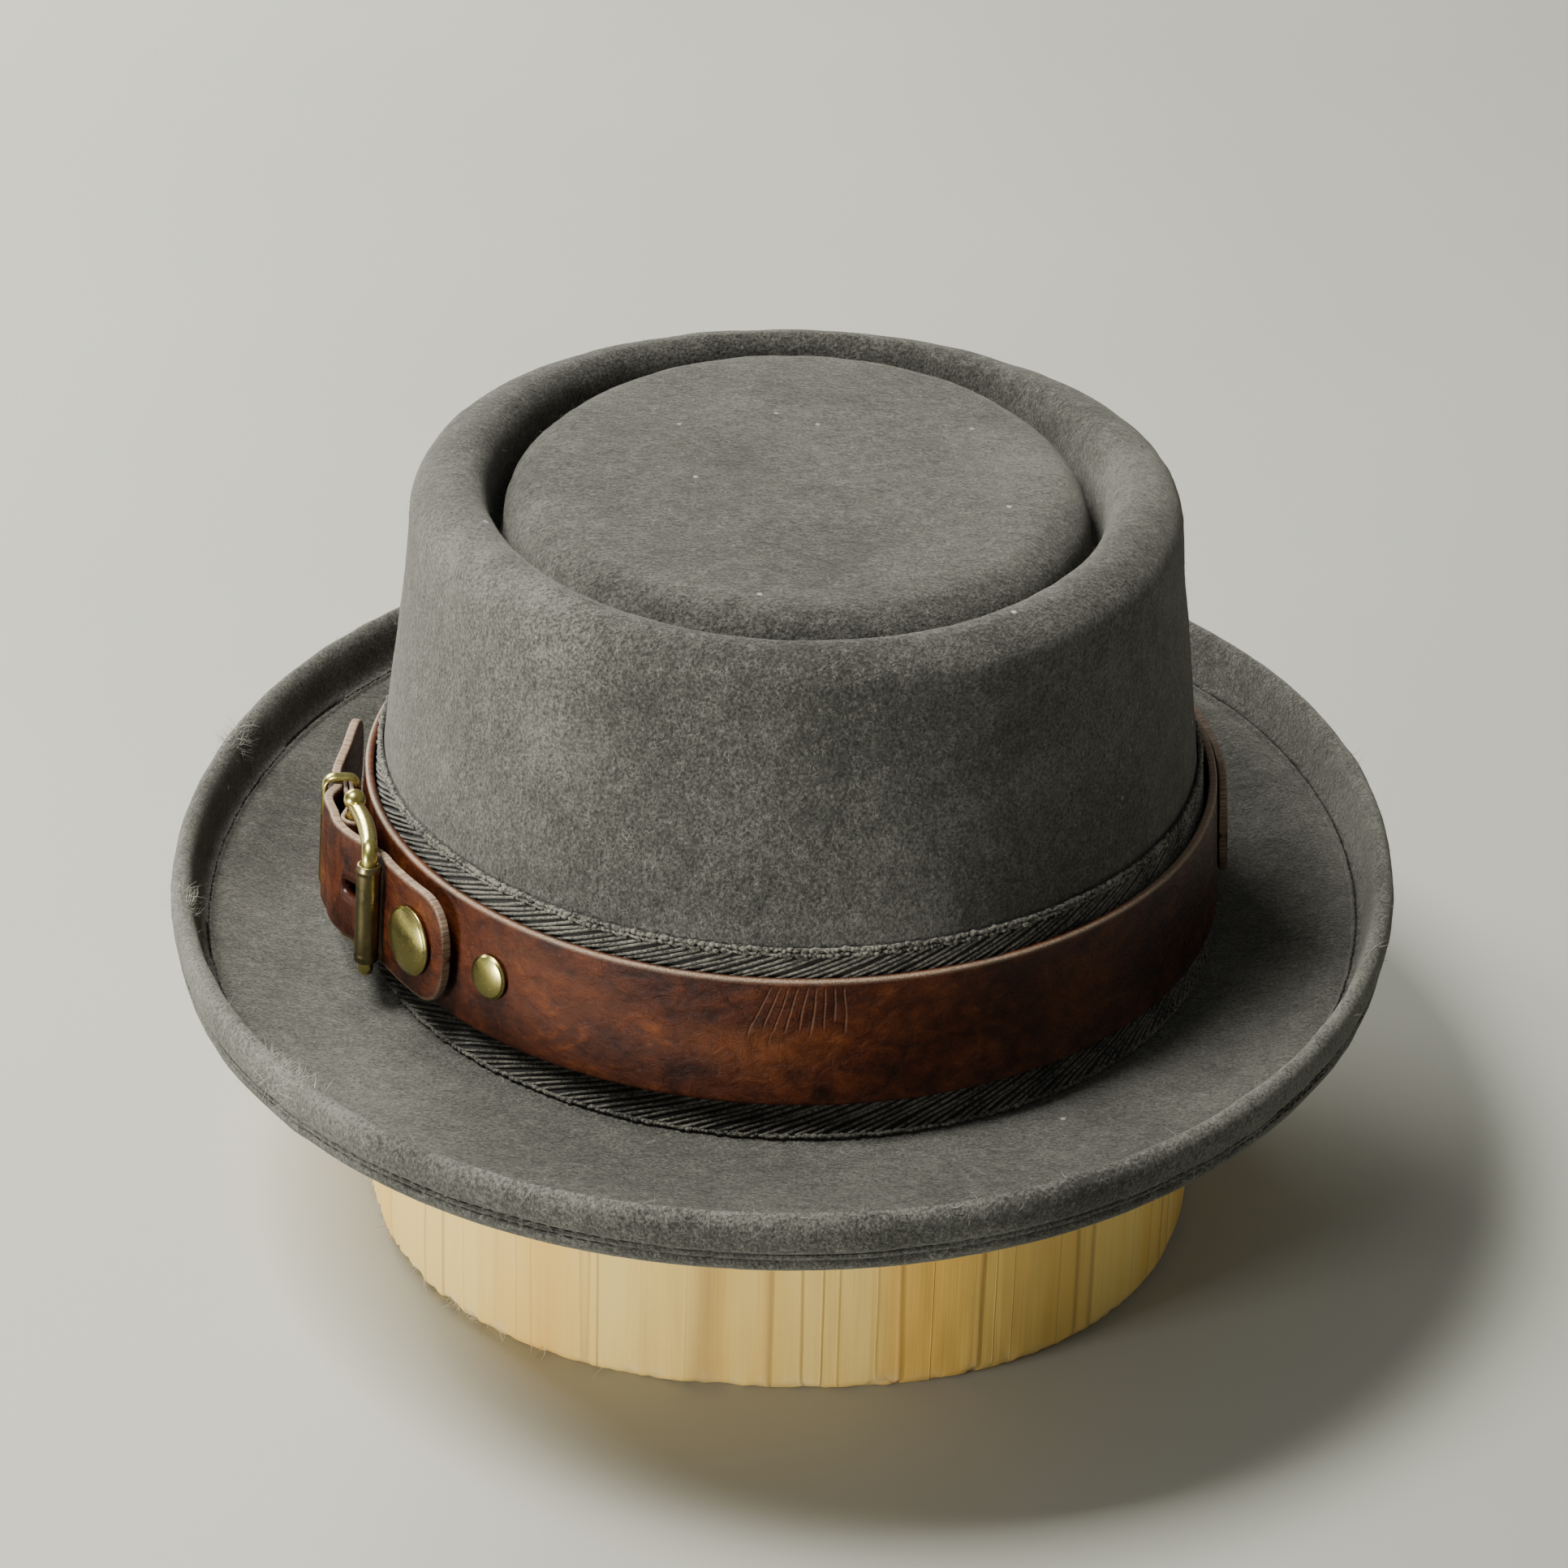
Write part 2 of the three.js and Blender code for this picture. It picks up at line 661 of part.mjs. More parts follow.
function buckleRoller() {
  const { matrix, length } = buckleAxes();
  const half = buckleSide - buckleCorner - clearance;
  const profile = [
    [rollerInner, -half], [rollerRadius, -half],
    [rollerRadius, half], [rollerInner, half], [rollerInner, -half],
  ];
  const geometry = new THREE.LatheGeometry(profile.map(([x, y]) => new THREE.Vector2(x, y)), 16);
  geometry.rotateX(Math.PI / 2);
  return geometry.translate(length, 0, 0).applyMatrix4(matrix);
}

// The tongue: an eye about the heel bar, and an arm that comes up through the billet onto the roller
function tonguePoints() {
  const { matrix, length } = buckleAxes();
  const toPlane = matrix.clone().invert();
  const inPlane = (along, out) => {
    const local = strapPlace(along, out, 0).applyMatrix4(toPlane);
    return new THREE.Vector2(local.x, -local.y);
  };
  const tip = new THREE.Vector2(length + rollerWall, rollerRadius + clearance + tongueThickness / 2);
  const eye = chapeBend + chapeThickness / 2;
  return {
    eye,
    arm: [
      new THREE.Vector2(eye, 0),
      inPlane(heelBarAlong - buckleLength * 0.27, heelBarOut * 0.8),
      inPlane(holeAlong + tongueThickness, holeOut - tongueThickness * 0.3),
      new THREE.Vector2(length - rollerRadius * 1.2, rollerRadius + tongueThickness * 0.55),
      tip,
    ],
  };
}

function buckleTongue() {
  const { matrix } = buckleAxes();
  const { eye, arm } = tonguePoints();
  const curve = new THREE.SplineCurve(arm);
  const left = [];
  const right = [];
  const armSteps = 10;
  for (let i = 0; i <= armSteps; i += 1) {
    const share = i / armSteps;
    const point = curve.getPointAt(share);
    const tangent = curve.getTangentAt(share);
    const half = (tongueThickness / 2) * (i === armSteps ? 0.6 : 1);
    left.push(new THREE.Vector2(point.x - tangent.y * half, point.y + tangent.x * half));
    right.push(new THREE.Vector2(point.x + tangent.y * half, point.y - tangent.x * half));
  }
  const armShape = new THREE.Shape([...left, ...right.reverse()]);
  const eyeShape = new THREE.Shape().absarc(0, 0, eye + chapeThickness / 2, 0, 2 * Math.PI);
  eyeShape.holes.push(new THREE.Path().absarc(0, 0, chapeBend, 0, 2 * Math.PI, true));
  const settings = { depth: tongueWidth, bevelEnabled: false, curveSegments: 8 };
  const parts = [eyeShape, armShape].map((shape) => {
    const part = new THREE.ExtrudeGeometry(shape, settings);
    return part.translate(0, 0, -tongueWidth / 2).rotateX(Math.PI);
  });
  return join(...parts).applyMatrix4(matrix);
}

// The keeper is a flat ring about the chape and the billet
function keeperLoop() {
  const innerHalf = billetHeight / 2 + clearance * 2;
  const inner = {
    low: clearance + keeperWall - chapeStackOut,
    high: billetUnderKeeper + billetThickness + clearance * 3 - chapeStackOut,
  };
  const rounded = (target, half, low, high, r) => {
    target.moveTo(half - r, low);
    target.absarc(half - r, low + r, r, -Math.PI / 2, 0);
    target.absarc(half - r, high - r, r, 0, Math.PI / 2);
    target.absarc(r - half, high - r, r, Math.PI / 2, Math.PI);
    target.absarc(r - half, low + r, r, Math.PI, 1.5 * Math.PI);
    target.closePath();
    return target;
  };
  const low = inner.low - keeperWall;
  const high = inner.high + keeperWall;
  const outline = rounded(new THREE.Shape(), innerHalf + keeperWall, low, high, keeperCorner);
  const holeCorner = keeperCorner - keeperWall / 2;
  outline.holes.push(rounded(new THREE.Path(), innerHalf, inner.low, inner.high, holeCorner));
  const settings = { depth: keeperWidth, bevelEnabled: false, curveSegments: 4 };
  const ring = new THREE.ExtrudeGeometry(outline, settings);
  ring.translate(0, 0, -keeperWidth / 2);
  const turn = new THREE.Matrix4().makeBasis(
    new THREE.Vector3(0, 0, 1), new THREE.Vector3(0, 1, 0), new THREE.Vector3(-1, 0, 0),
  );
  return ring.applyMatrix4(turn).applyMatrix4(axesAt(strapPlace, keeperAlong, chapeStackOut));
}

// The billet with its rivet hole and the slot that the tongue comes through
function billetStrap() {
  const body = strap(strapPlace, billetPath, billetThickness, billetHeight, billetHeight / 2, strapStep);
  const hole = holePin(strapPlace, largeRivetAlong, largeRivetFace, shankRadius);
  const slot = new THREE.BoxGeometry(tongueSlotLength, billetThickness * 3.5, tongueSlotHeight);
  slot.applyMatrix4(axesAt(strapPlace, holeAlong, holeOut));
  return cut(body, hole, slot);
}

function chapeStrap() {
  const body = strap(strapPlace, chapePath(), chapeThickness, chapeHeight, 0, chapeStep);
  const slotDepth = heelBarOut * 2 + chapeBend * 2;
  const slot = new THREE.BoxGeometry(chapeBend * 2 + chapeThickness * 4, slotDepth, tongueSlotHeight);
  slot.applyMatrix4(axesAt(strapPlace, heelBarAlong - chapeBend / 2, heelBarOut));
  const hole = holePin(strapPlace, chapeRivetAlong, chapeRivetFace, chapeRivetRadius / 2);
  return cut(body, slot, hole);
}

const tabPath = [
  { along: tabRivetAlong - tabHalfRun, out: clearance },
  { along: tabRivetAlong, out: clearance },
  { along: tabRivetAlong + tabHalfRun, out: clearance },
];

function sideTab() {
  const body = strap(bandPlace, tabPath, tabThickness, billetHeight, billetHeight / 2, strapStep);
  const hole = holePin(bandPlace, tabRivetAlong, tabRivetFace, shankRadius);
  return cut(body, hole);
}

function leatherBand() {
  const body = crownLoop([bandLow, bandLow + bandHeight], bandInset, bandOutset);
  return cut(
    body,
    holePin(strapPlace, largeRivetAlong, largeRivetFace, shankRadius),
    holePin(bandPlace, smallRivetAlong, clearance, shankRadius),
    holePin(bandPlace, tabRivetAlong, tabRivetFace, shankRadius),
    holePin(strapPlace, chapeRivetAlong, chapeRivetFace, chapeRivetRadius / 2),
  );
}

// The stand: a block with an upright side that narrows under the brim into a plug for the head opening
function standBlock() {
  const plugRoom = feltWall + clearance;
  const plugAt = (height) => crownWallAt(height) - plugRoom;
  const plugRing = (height, edge) => {
    const halfWidth = plugAt(height) - edge;
    return ovalRing(halfWidth, halfWidth + ovalExtraAt(height), standHeight + height);
  };
  const standRing = (inset, height) => (
    ovalRing(standHalfWidth - inset, standHalfDepth - inset, height, standSquareness));
  const neck = plugAt(0);
  const rings = [
    ...standEdgeShape.map((row) => standRing(standEdge * row.in, standEdge * row.up)),
    standRing(0, standUpright),
    ovalRing(neck, neck + ovalExtraAt(0), standHeight - clearance),
    plugRing(plugHeight - plugEdge, 0),
    plugRing(plugHeight, plugEdge),
  ];
  const top = new THREE.Vector3(0, 0, standHeight + plugHeight);
  return cappedRings(new THREE.Vector3(), rings, top);
}

// Rivets sit on the face of what they hold, and their shanks end at the band's inner face
function rivetOn(placeAt, along, face, radius, edge, dome, shank) {
  const lift = placeAt === strapPlace ? topLiftAt(along) / 2 : 0;
  return rivet(axesAt(placeAt, along, face), radius, edge, dome, shank, face + lift + bandThickness);
}

const largeRivet = rivetOn(
  strapPlace, largeRivetAlong, largeRivetFace, largeRivetRadius, rivetEdge, largeRivetDome, shankRadius);
const smallRivet = rivetOn(
  bandPlace, smallRivetAlong, clearance, smallRivetRadius, rivetEdge, smallRivetDome, shankRadius);
const tabRivet = rivetOn(
  bandPlace, tabRivetAlong, tabRivetFace, largeRivetRadius, rivetEdge, largeRivetDome, shankRadius);
const chapeRivetEdge = chapeRivetHead * 0.4;
const chapeRivet = rivetOn(
  strapPlace, chapeRivetAlong, chapeRivetFace, chapeRivetRadius, chapeRivetEdge, chapeRivetHead,
  chapeRivetRadius / 2);

const ribbonHeights = [footHeight, wallRows[1].h, footHeight + ribbonHeight];

const pieces = [
  ['felt_body', feltBody(), colours.felt],
  ['twill_ribbon', crownLoop(ribbonHeights, clearance, ribbonOutset), colours.twill],
  ['leather_band', leatherBand(), colours.leather],
  ['billet_strap', billetStrap(), colours.leather],
  ['chape_strap', chapeStrap(), colours.leather],
  ['side_tab', sideTab(), colours.leather],
  ['buckle_frame', buckleFrame(), colours.brass],
  ['buckle_roller', buckleRoller(), colours.bronze],
  ['buckle_tongue', buckleTongue(), colours.brass],
  ['keeper_loop', keeperLoop(), colours.brass],
  ['large_rivet', largeRivet, colours.brass],
  ['small_rivet', smallRivet, colours.brass],
  ['tab_rivet', tabRivet, colours.brass],
  ['chape_rivet', chapeRivet, colours.brass],
  ['stand_block', standBlock(), colours.pine],
];

const hatOnStand = new THREE.Group();
for (const [name, geometry, finish] of pieces) {
  const mesh = new THREE.Mesh(geometry, new THREE.MeshStandardMaterial({ ...finish, flatShading: true }));
  mesh.name = name;
  hatOnStand.add(mesh);
}

export default hatOnStand;
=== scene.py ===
# Porkpie hat with a buckled leather band on a plain pine stand
import math
import bpy
import numpy as np
from mathutils import Matrix, Vector, noise


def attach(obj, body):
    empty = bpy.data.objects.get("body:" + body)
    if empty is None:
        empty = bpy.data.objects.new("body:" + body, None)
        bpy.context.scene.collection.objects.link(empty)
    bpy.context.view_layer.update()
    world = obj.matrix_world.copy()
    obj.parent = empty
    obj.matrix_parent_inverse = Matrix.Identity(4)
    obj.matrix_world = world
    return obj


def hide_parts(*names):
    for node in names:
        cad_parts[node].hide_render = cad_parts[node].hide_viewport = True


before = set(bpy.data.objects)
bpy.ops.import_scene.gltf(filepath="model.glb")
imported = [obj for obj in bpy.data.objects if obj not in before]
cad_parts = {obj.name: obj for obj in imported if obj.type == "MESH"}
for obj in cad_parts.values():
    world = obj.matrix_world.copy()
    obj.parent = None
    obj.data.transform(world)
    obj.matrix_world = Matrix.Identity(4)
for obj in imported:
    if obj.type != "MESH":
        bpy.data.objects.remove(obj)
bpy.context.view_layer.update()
mm = 0.001
scene = bpy.context.scene

# Driving sizes in millimetres, the same as the solids'
hat = {
    "crownHalfWidth": 89.5, "crownTopHalfWidth": 80.0, "crownHeight": 103.0, "feltWall": 2.2,
    "footOvalExtra": 10.5, "tipOvalExtra": 6.5, "footRadius": 2.5, "clearance": 0.3,
    "shoulderDrop": 9.0, "shoulderWidth": 10.2, "ridgeInnerWidth": 6.0, "ridgeInnerDrop": 8.5,
    "ridgeFrontDip": 2.2, "ridgeBackDip": 1.1, "ridgeReach": (4.0, 2.0), "islandReach": (4.0, 6.0),
    "creaseWidth": 3.0, "creaseDepth": 16.2,
    "islandEdgeRadius": 10.0, "islandEdgeDrop": 1.8, "islandDome": 1.2,
    "brimSideWidth": 40.0, "brimFrontWidth": 58.0, "brimSquareness": 2.05, "brimRise": 5.8,
    "rimHeight": 18.8, "rimThickness": 4.4, "rimFoldHeight": 7.2, "brimTurn": -5.5, "brimSideLean": 0.8,
    "standHeight": 59.0,
}
wallShape = [(0.13, 0.92), (0.4, 0.67), (0.65, 0.39), (0.86, 0.1)]  # up the wall, share of the taper
brimShape = [(0.3, 0.12), (0.62, 0.46), (0.84, 0.82)]  # out along the brim, share of its rise
rimShape = [  # in from the outermost point, up from the fold to the crest
    (1.45, 0.0), (1.08, 0.28), (0.97, 0.66), (0.8, 0.92), (0.45, 1.0), (0.12, 0.88),
    (0.0, 0.66), (0.12, 0.3), (0.3, 0.02), (0.7, -0.06),
]
clearance = hat["clearance"]
standHeight = hat["standHeight"]


def smoothStep(low, high, value):
    share = np.clip((value - low) / (high - low), 0, 1)
    return share * share * (3 - 2 * share)


def centripetalCurve(points, perSpan):  # a smooth curve through the points, many to a span
    points = np.asarray(points, float)
    padded = np.vstack([2 * points[0] - points[1], points, 2 * points[-1] - points[-2]])
    shares = np.linspace(0, 1, perSpan, endpoint=False)[:, None]
    spans = []
    for i in range(len(points) - 1):
        p0, p1, p2, p3 = padded[i:i + 4]
        d0, d1, d2 = (max(np.linalg.norm(b - a), 1e-6) ** 0.5 for a, b in ((p0, p1), (p1, p2), (p2, p3)))
        t1 = ((p1 - p0) / d0 - (p2 - p0) / (d0 + d1) + (p2 - p1) / d1) * d1
        t2 = ((p2 - p1) / d1 - (p3 - p1) / (d1 + d2) + (p3 - p2) / d2) * d1
        cubic = 2 * p1 - 2 * p2 + t1 + t2
        square = -3 * p1 + 3 * p2 - 2 * t1 - t2
        spans.append(p1 + t1 * shares + square * shares ** 2 + cubic * shares ** 3)
    return np.vstack(spans + [points[-1:]])


def unit(vectors):
    return vectors / np.maximum(np.linalg.norm(vectors, axis=-1, keepdims=True), 1e-9)


def lengthsAlong(points):
    return np.concatenate([[0], np.cumsum(np.linalg.norm(np.diff(points, axis=0), axis=1))])


def pointsAt(points, distances):  # places at distances along a line of points
    lengths = lengthsAlong(points)
    return np.stack([np.interp(distances, lengths, points[:, k]) for k in range(points.shape[1])], -1)


def ovalPlace(halfWidth, halfDepth, angle, height, squareness=2.0):  # the angle runs from the front to -X
    def fuller(value):
        return np.sign(value) * np.abs(value) ** (2 / squareness)
    x = -halfWidth * fuller(np.sin(angle))
    y = -halfDepth * fuller(np.cos(angle))
    return np.stack(np.broadcast_arrays(x, y, height), -1)


def roughAt(places, size, seed=0):  # soft noise from -1 to 1 at places in millimetres
    shift = Vector((seed * 17.3, seed * 5.1, seed * 9.7))
    flat = places.reshape(-1, 3) / size
    return np.array([noise.noise(Vector(p) + shift) for p in flat]).reshape(places.shape[:-1])


def signedVolume(vertices, faces):
    total = 0.0
    for size in (3, 4):
        corners = np.array([f for f in faces if len(f) == size])
        for k in range(1, size - 1):
            if len(corners):
                a, b, c = vertices[corners[:, 0]], vertices[corners[:, k]], vertices[corners[:, k + 1]]
                total += np.einsum("ij,ij->i", a, np.cross(b, c)).sum()
    return total


def makePiece(name, vertices, faces, material, layers=None, smooth=True):  # vertices in millimetres
    vertices = np.asarray(vertices, float)
    if signedVolume(vertices, faces) < 0:
        faces = [tuple(reversed(face)) for face in faces]
    mesh = bpy.data.meshes.new(name)
    mesh.from_pydata((vertices * mm).tolist(), [], faces)
    for label, values in (layers or {}).items():
        values = np.asarray(values, float)
        kind = "FLOAT" if values.ndim == 1 else "FLOAT_VECTOR"
        layer = mesh.attributes.new(label, kind, "POINT")
        layer.data.foreach_set("value" if kind == "FLOAT" else "vector", values.ravel())
    mesh.polygons.foreach_set("use_smooth", [smooth] * len(faces))
    mesh.materials.append(material)
    piece = bpy.data.objects.new(name, mesh)
    scene.collection.objects.link(piece)
    return piece


def ringFaces(ringCount, ringLength, loops):  # quads between neighbouring rings
    spans = ringCount if loops else ringCount - 1
    r, i = np.meshgrid(np.arange(spans), np.arange(ringLength), indexing="ij")
    here, there, j = r * ringLength, ((r + 1) % ringCount) * ringLength, (i + 1) % ringLength
    return [tuple(f) for f in np.stack([here + i, here + j, there + j, there + i], -1).reshape(-1, 4).tolist()]


def ringPiece(name, rings, material, layers=None, loops=False):
    ringCount, ringLength = rings.shape[:2]
    vertices = rings.reshape(-1, 3)
    faces = ringFaces(ringCount, ringLength, loops)
    layers = {label: np.asarray(values).reshape(ringCount * ringLength, -1).squeeze()
              for label, values in (layers or {}).items()}
    if not loops:  # a middle point closes each end
        count = len(vertices)
        vertices = np.vstack([vertices, rings[0].mean(0), rings[-1].mean(0)])
        last = (ringCount - 1) * ringLength
        for i in range(ringLength):
            j = (i + 1) % ringLength
            faces += [(count, j, i), (count + 1, last + i, last + j)]
        for label, values in layers.items():
            ends = np.stack([values[:ringLength].mean(0), values[-ringLength:].mean(0)])
            layers[label] = np.concatenate([values, ends])
    return makePiece(name, vertices, faces, material, layers)


def finishPiece(piece, slot, *nodes):  # rides with the hat and stands for its solids
    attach(piece, "root")
    if nodes:
        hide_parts(*nodes)
    return piece


# Shapes that several pieces share
shoulderHeight = hat["crownHeight"] - hat["shoulderDrop"]
footHeight = hat["feltWall"] + hat["footRadius"]
crownTaper = hat["crownHalfWidth"] - hat["crownTopHalfWidth"]
wallRows = np.array(
    [(hat["crownHalfWidth"], footHeight)]
    + [(hat["crownTopHalfWidth"] + crownTaper * out, shoulderHeight * up) for up, out in wallShape]
    + [(hat["crownTopHalfWidth"], shoulderHeight)])
rimOuter = hat["crownHalfWidth"] + hat["brimSideWidth"]


def wallAt(height):
    return np.interp(height, wallRows[:, 1], wallRows[:, 0])


def ovalExtraAt(height):
    return hat["footOvalExtra"] + (hat["tipOvalExtra"] - hat["footOvalExtra"]) * height / hat["crownHeight"]


def ovalArc(halfWidth, halfDepth):  # distance from the front against angle
    angles = np.linspace(0, np.pi, 1441)
    middles = (angles[1:] + angles[:-1]) / 2
    speed = np.hypot(halfWidth * np.cos(middles), halfDepth * np.sin(middles))
    return angles, np.concatenate([[0], np.cumsum(speed * np.diff(angles))])


band = {
    "low": 10.8, "height": 26.2, "thickness": 1.8, "edgeRadius": 0.6, "standOff": 0.8,
    "lineInset": 0.28, "ribbonThickness": 1.0, "ribbonHeight": 37.5,
}
trimMiddle = band["low"] + band["height"] / 2
bandInset = clearance * 2 + band["ribbonThickness"]
bandOutset = bandInset + band["thickness"]
bandHalfWidth = wallAt(trimMiddle) + bandOutset
bandAngles, bandDistances = ovalArc(bandHalfWidth, bandHalfWidth + ovalExtraAt(trimMiddle))
bandSlope = (wallAt(trimMiddle + band["height"] / 2) - wallAt(band["low"])) / band["height"]
halfLoop = bandDistances[-1]


def angleAt(along):
    return np.sign(along) * np.interp(np.abs(along), bandDistances, bandAngles)


def standOff(along, up):  # on the right the leather's top stands a little off the ribbon
    right = smoothStep(-55, -150, along) * smoothStep(halfLoop + 30, halfLoop - 20, -along)
    return band["standOff"] * right * np.clip(up / band["height"] + 0.5, 0, 1)


def bandPlace(along, out, up):
    along, out, up = np.broadcast_arrays(*(np.asarray(v, float) for v in (along, out, up)))
    angle = angleAt(along)
    halfWidth = bandHalfWidth + bandSlope * up
    halfDepth = halfWidth + ovalExtraAt(trimMiddle + up)
    normal = unit(ovalPlace(halfDepth, halfWidth, angle, 0.0))
    normal[..., 2] = -bandSlope
    normal = unit(normal)
    place = ovalPlace(halfWidth, halfDepth, angle, standHeight + trimMiddle + up)
    return place + normal * (out + standOff(along, up))[..., None]


def axesAt(placeAt, along, out):  # x back along the band, y out of it, z up its face
    z = unit(placeAt(along, out, 1) - placeAt(along, out, -1))
    y = unit(np.cross(z, placeAt(along + 1, out, 0) - placeAt(along - 1, out, 0)))
    return np.column_stack([np.cross(y, z), y, z]), placeAt(along, out, 0)


# Camera, floor and light
view = {
    "place": (0.0, -918.35, 557.05), "pitch": 27.03, "roll": 1.68, "focal": 111.0, "shift": -0.0035,
}
camera = bpy.data.cameras.new("camera")
camera.lens = view["focal"]
camera.sensor_width = 36
camera.shift_x = view["shift"]
camera.clip_end = 20
cameraObject = bpy.data.objects.new("camera", camera)
cameraObject.matrix_world = (
    Matrix.Translation(Vector(view["place"]) * mm)
    @ Matrix.Rotation(math.radians(90 - view["pitch"]), 4, "X")
    @ Matrix.Rotation(math.radians(view["roll"]), 4, "Z"))
scene.collection.objects.link(cameraObject)
scene.camera = cameraObject

studio = {
    "floorColour": (0.47, 0.474, 0.42), "floorDark": (0.43, 0.434, 0.385),
    "worldColour": (0.66, 0.67, 0.64, 1), "worldStrength": 0.26, "lightColour": (1.0, 0.985, 0.93),
    "lights": [  # name, place, aimed at, width, height, power
        ("key", (-0.62, -0.2, 1.38), (0.0, 0.0, 0.08), 0.5, 0.5, 36),
        ("leftFill", (-1.3, -0.95, 0.18), (0.0, 0.0, 0.03), 0.5, 0.3, 25),
        ("backFloor", (-1.1, 1.7, 0.9), (-0.6, 0.9, 0.0), 1.0, 0.5, 62),
    ],
}
for label, place, aim, width, height, power in studio["lights"]:
    light = bpy.data.lights.new(label, "AREA")
    light.shape = "RECTANGLE"
    light.size, light.size_y, light.energy = width, height, power
    light.color = studio["lightColour"]
    lamp = bpy.data.objects.new(label, light)
    lamp.location = place
    lamp.rotation_euler = (Vector(aim) - Vector(place)).to_track_quat("-Z", "Y").to_euler()
    scene.collection.objects.link(lamp)
world = bpy.data.worlds.new("studio")
world.use_nodes = True
world.node_tree.nodes["Background"].inputs["Color"].default_value = studio["worldColour"]
world.node_tree.nodes["Background"].inputs["Strength"].default_value = studio["worldStrength"]
scene.world = world


def feed(shader, **sources):  # links or sets the shader's inputs, whose names are given without spaces
    for label, source in sources.items():
        socket = next(s for s in shader.inputs if s.name.replace(" ", "") == label)
        if isinstance(source, bpy.types.NodeSocket):
            shader.id_data.links.new(source, socket)
        else:
            socket.default_value = source


def newMaterial(name, roughness, **sources):
    material = bpy.data.materials.new(name)
    material.use_nodes = True
    shader = material.node_tree.nodes["Principled BSDF"]
    feed(shader, Roughness=roughness, **sources)
    return material, material.node_tree, shader


def addNode(tree, kind, sources=None, **settings):
    node = tree.nodes.new(kind)
    for key, value in settings.items():
        setattr(node, key, value)
    for socket, source in (sources or {}).items():
        if isinstance(source, bpy.types.NodeSocket):
            tree.links.new(source, node.inputs[socket])
        else:
            node.inputs[socket].default_value = source
    return node


def made(tree, kind, sources=None, **settings):  # a new node's first output
    return addNode(tree, kind, sources, **settings).outputs[0]


def treeOf(*values):  # the tree of the first socket among them
    return next(value for value in values if isinstance(value, bpy.types.NodeSocket)).id_data


def objectPlace(tree, stretch=(1, 1, 1)):
    place = addNode(tree, "ShaderNodeTexCoord").outputs["Object"]
    return addNode(tree, "ShaderNodeMapping", {"Vector": place, "Scale": stretch}).outputs["Vector"]


def layerPlace(tree, label, stretch=(1, 1, 1)):  # a piece's own layer, in millimetres
    place = addNode(tree, "ShaderNodeAttribute", attribute_name=label).outputs["Vector"]
    return addNode(tree, "ShaderNodeMapping", {"Vector": place, "Scale": stretch}).outputs["Vector"]


def layerValue(tree, label):
    return addNode(tree, "ShaderNodeAttribute", attribute_name=label).outputs["Fac"]


def noiseAt(place, scale, detail=4.0, roughness=0.55, distortion=0.0):
    return addNode(treeOf(place), "ShaderNodeTexNoise", {
        "Vector": place, "Scale": scale, "Detail": detail, "Roughness": roughness, "Distortion": distortion,
    }).outputs["Fac"]


def remap(value, fromLow, fromHigh, toLow=0.0, toHigh=1.0):
    return addNode(treeOf(value), "ShaderNodeMapRange", {
        "Value": value, "From Min": fromLow, "From Max": fromHigh, "To Min": toLow, "To Max": toHigh,
    }).outputs["Result"]


def combine(kind, a, b=0.0):
    return made(treeOf(a, b), "ShaderNodeMath", {0: a, 1: b}, operation=kind)


def combineVectors(kind, a, b):
    return made(treeOf(a, b), "ShaderNodeVectorMath", {0: a, 1: b}, operation=kind)


def plus(a, b):
    return combine("ADD", a, b)


def minus(a, b):
    return combine("SUBTRACT", a, b)


def times(a, b):
    return combine("MULTIPLY", a, b)


def apartFrom(value, level):  # how far a value is from a level, either way
    return combine("ABSOLUTE", minus(value, level))


def mixColour(share, a, b):
    b = b if isinstance(b, bpy.types.NodeSocket) else (*b, 1)
    return addNode(treeOf(share, a), "ShaderNodeMix", {0: share, 6: a, 7: b}, data_type="RGBA").outputs[2]


def colourRamp(value, stops):
    node = addNode(treeOf(value), "ShaderNodeValToRGB", {"Fac": value})
    elements = node.color_ramp.elements
    while len(elements) < len(stops):
        elements.new(0.5)
    for element, (position, colour) in zip(elements, stops):
        element.position = position
        element.color = (*colour, 1)
    return node.outputs["Color"]


def addBump(shader, height, distance, strength=1.0):
    tree, normal = shader.id_data, shader.inputs["Normal"]
    bump = addNode(tree, "ShaderNodeBump", {"Height": height, "Distance": distance, "Strength": strength})
    if normal.is_linked:
        tree.links.new(normal.links[0].from_socket, bump.inputs["Normal"])
    tree.links.new(bump.outputs["Normal"], normal)


floorMaterial, floorTree, floorShader = newMaterial("paleFloor", 0.75)
floorNoise = noiseAt(objectPlace(floorTree), 2.5, 3)
floorColour = colourRamp(floorNoise, [(0.3, studio["floorDark"]), (0.7, studio["floorColour"])])
feed(floorShader, BaseColor=floorColour)
floorHalf = 6000
floorCorners = [(x * floorHalf, y * floorHalf, 0) for x, y in ((-1, -1), (1, -1), (1, 1), (-1, 1))]
floor = makePiece("floor", floorCorners, [(0, 1, 2, 3)], floorMaterial, smooth=False)
print("studio set")


# Materials
feltLook = {
    "dark": (0.028, 0.028, 0.0245), "middle": (0.063, 0.0625, 0.055), "light": (0.142, 0.14, 0.124),
    "strand": (0.30, 0.296, 0.26), "worn": (0.25, 0.246, 0.215), "napScale": 1500, "mottleScale": 55,
    "strandScales": (620, 880), "lintScale": 62,
}


def fineLines(place, scale, width):  # thin bent lines that run every way, as loose fibres do
    lines = noiseAt(place, scale, 1.0, 0.5, 0.5)
    return remap(apartFrom(lines, 0.5), width, width * 0.2)


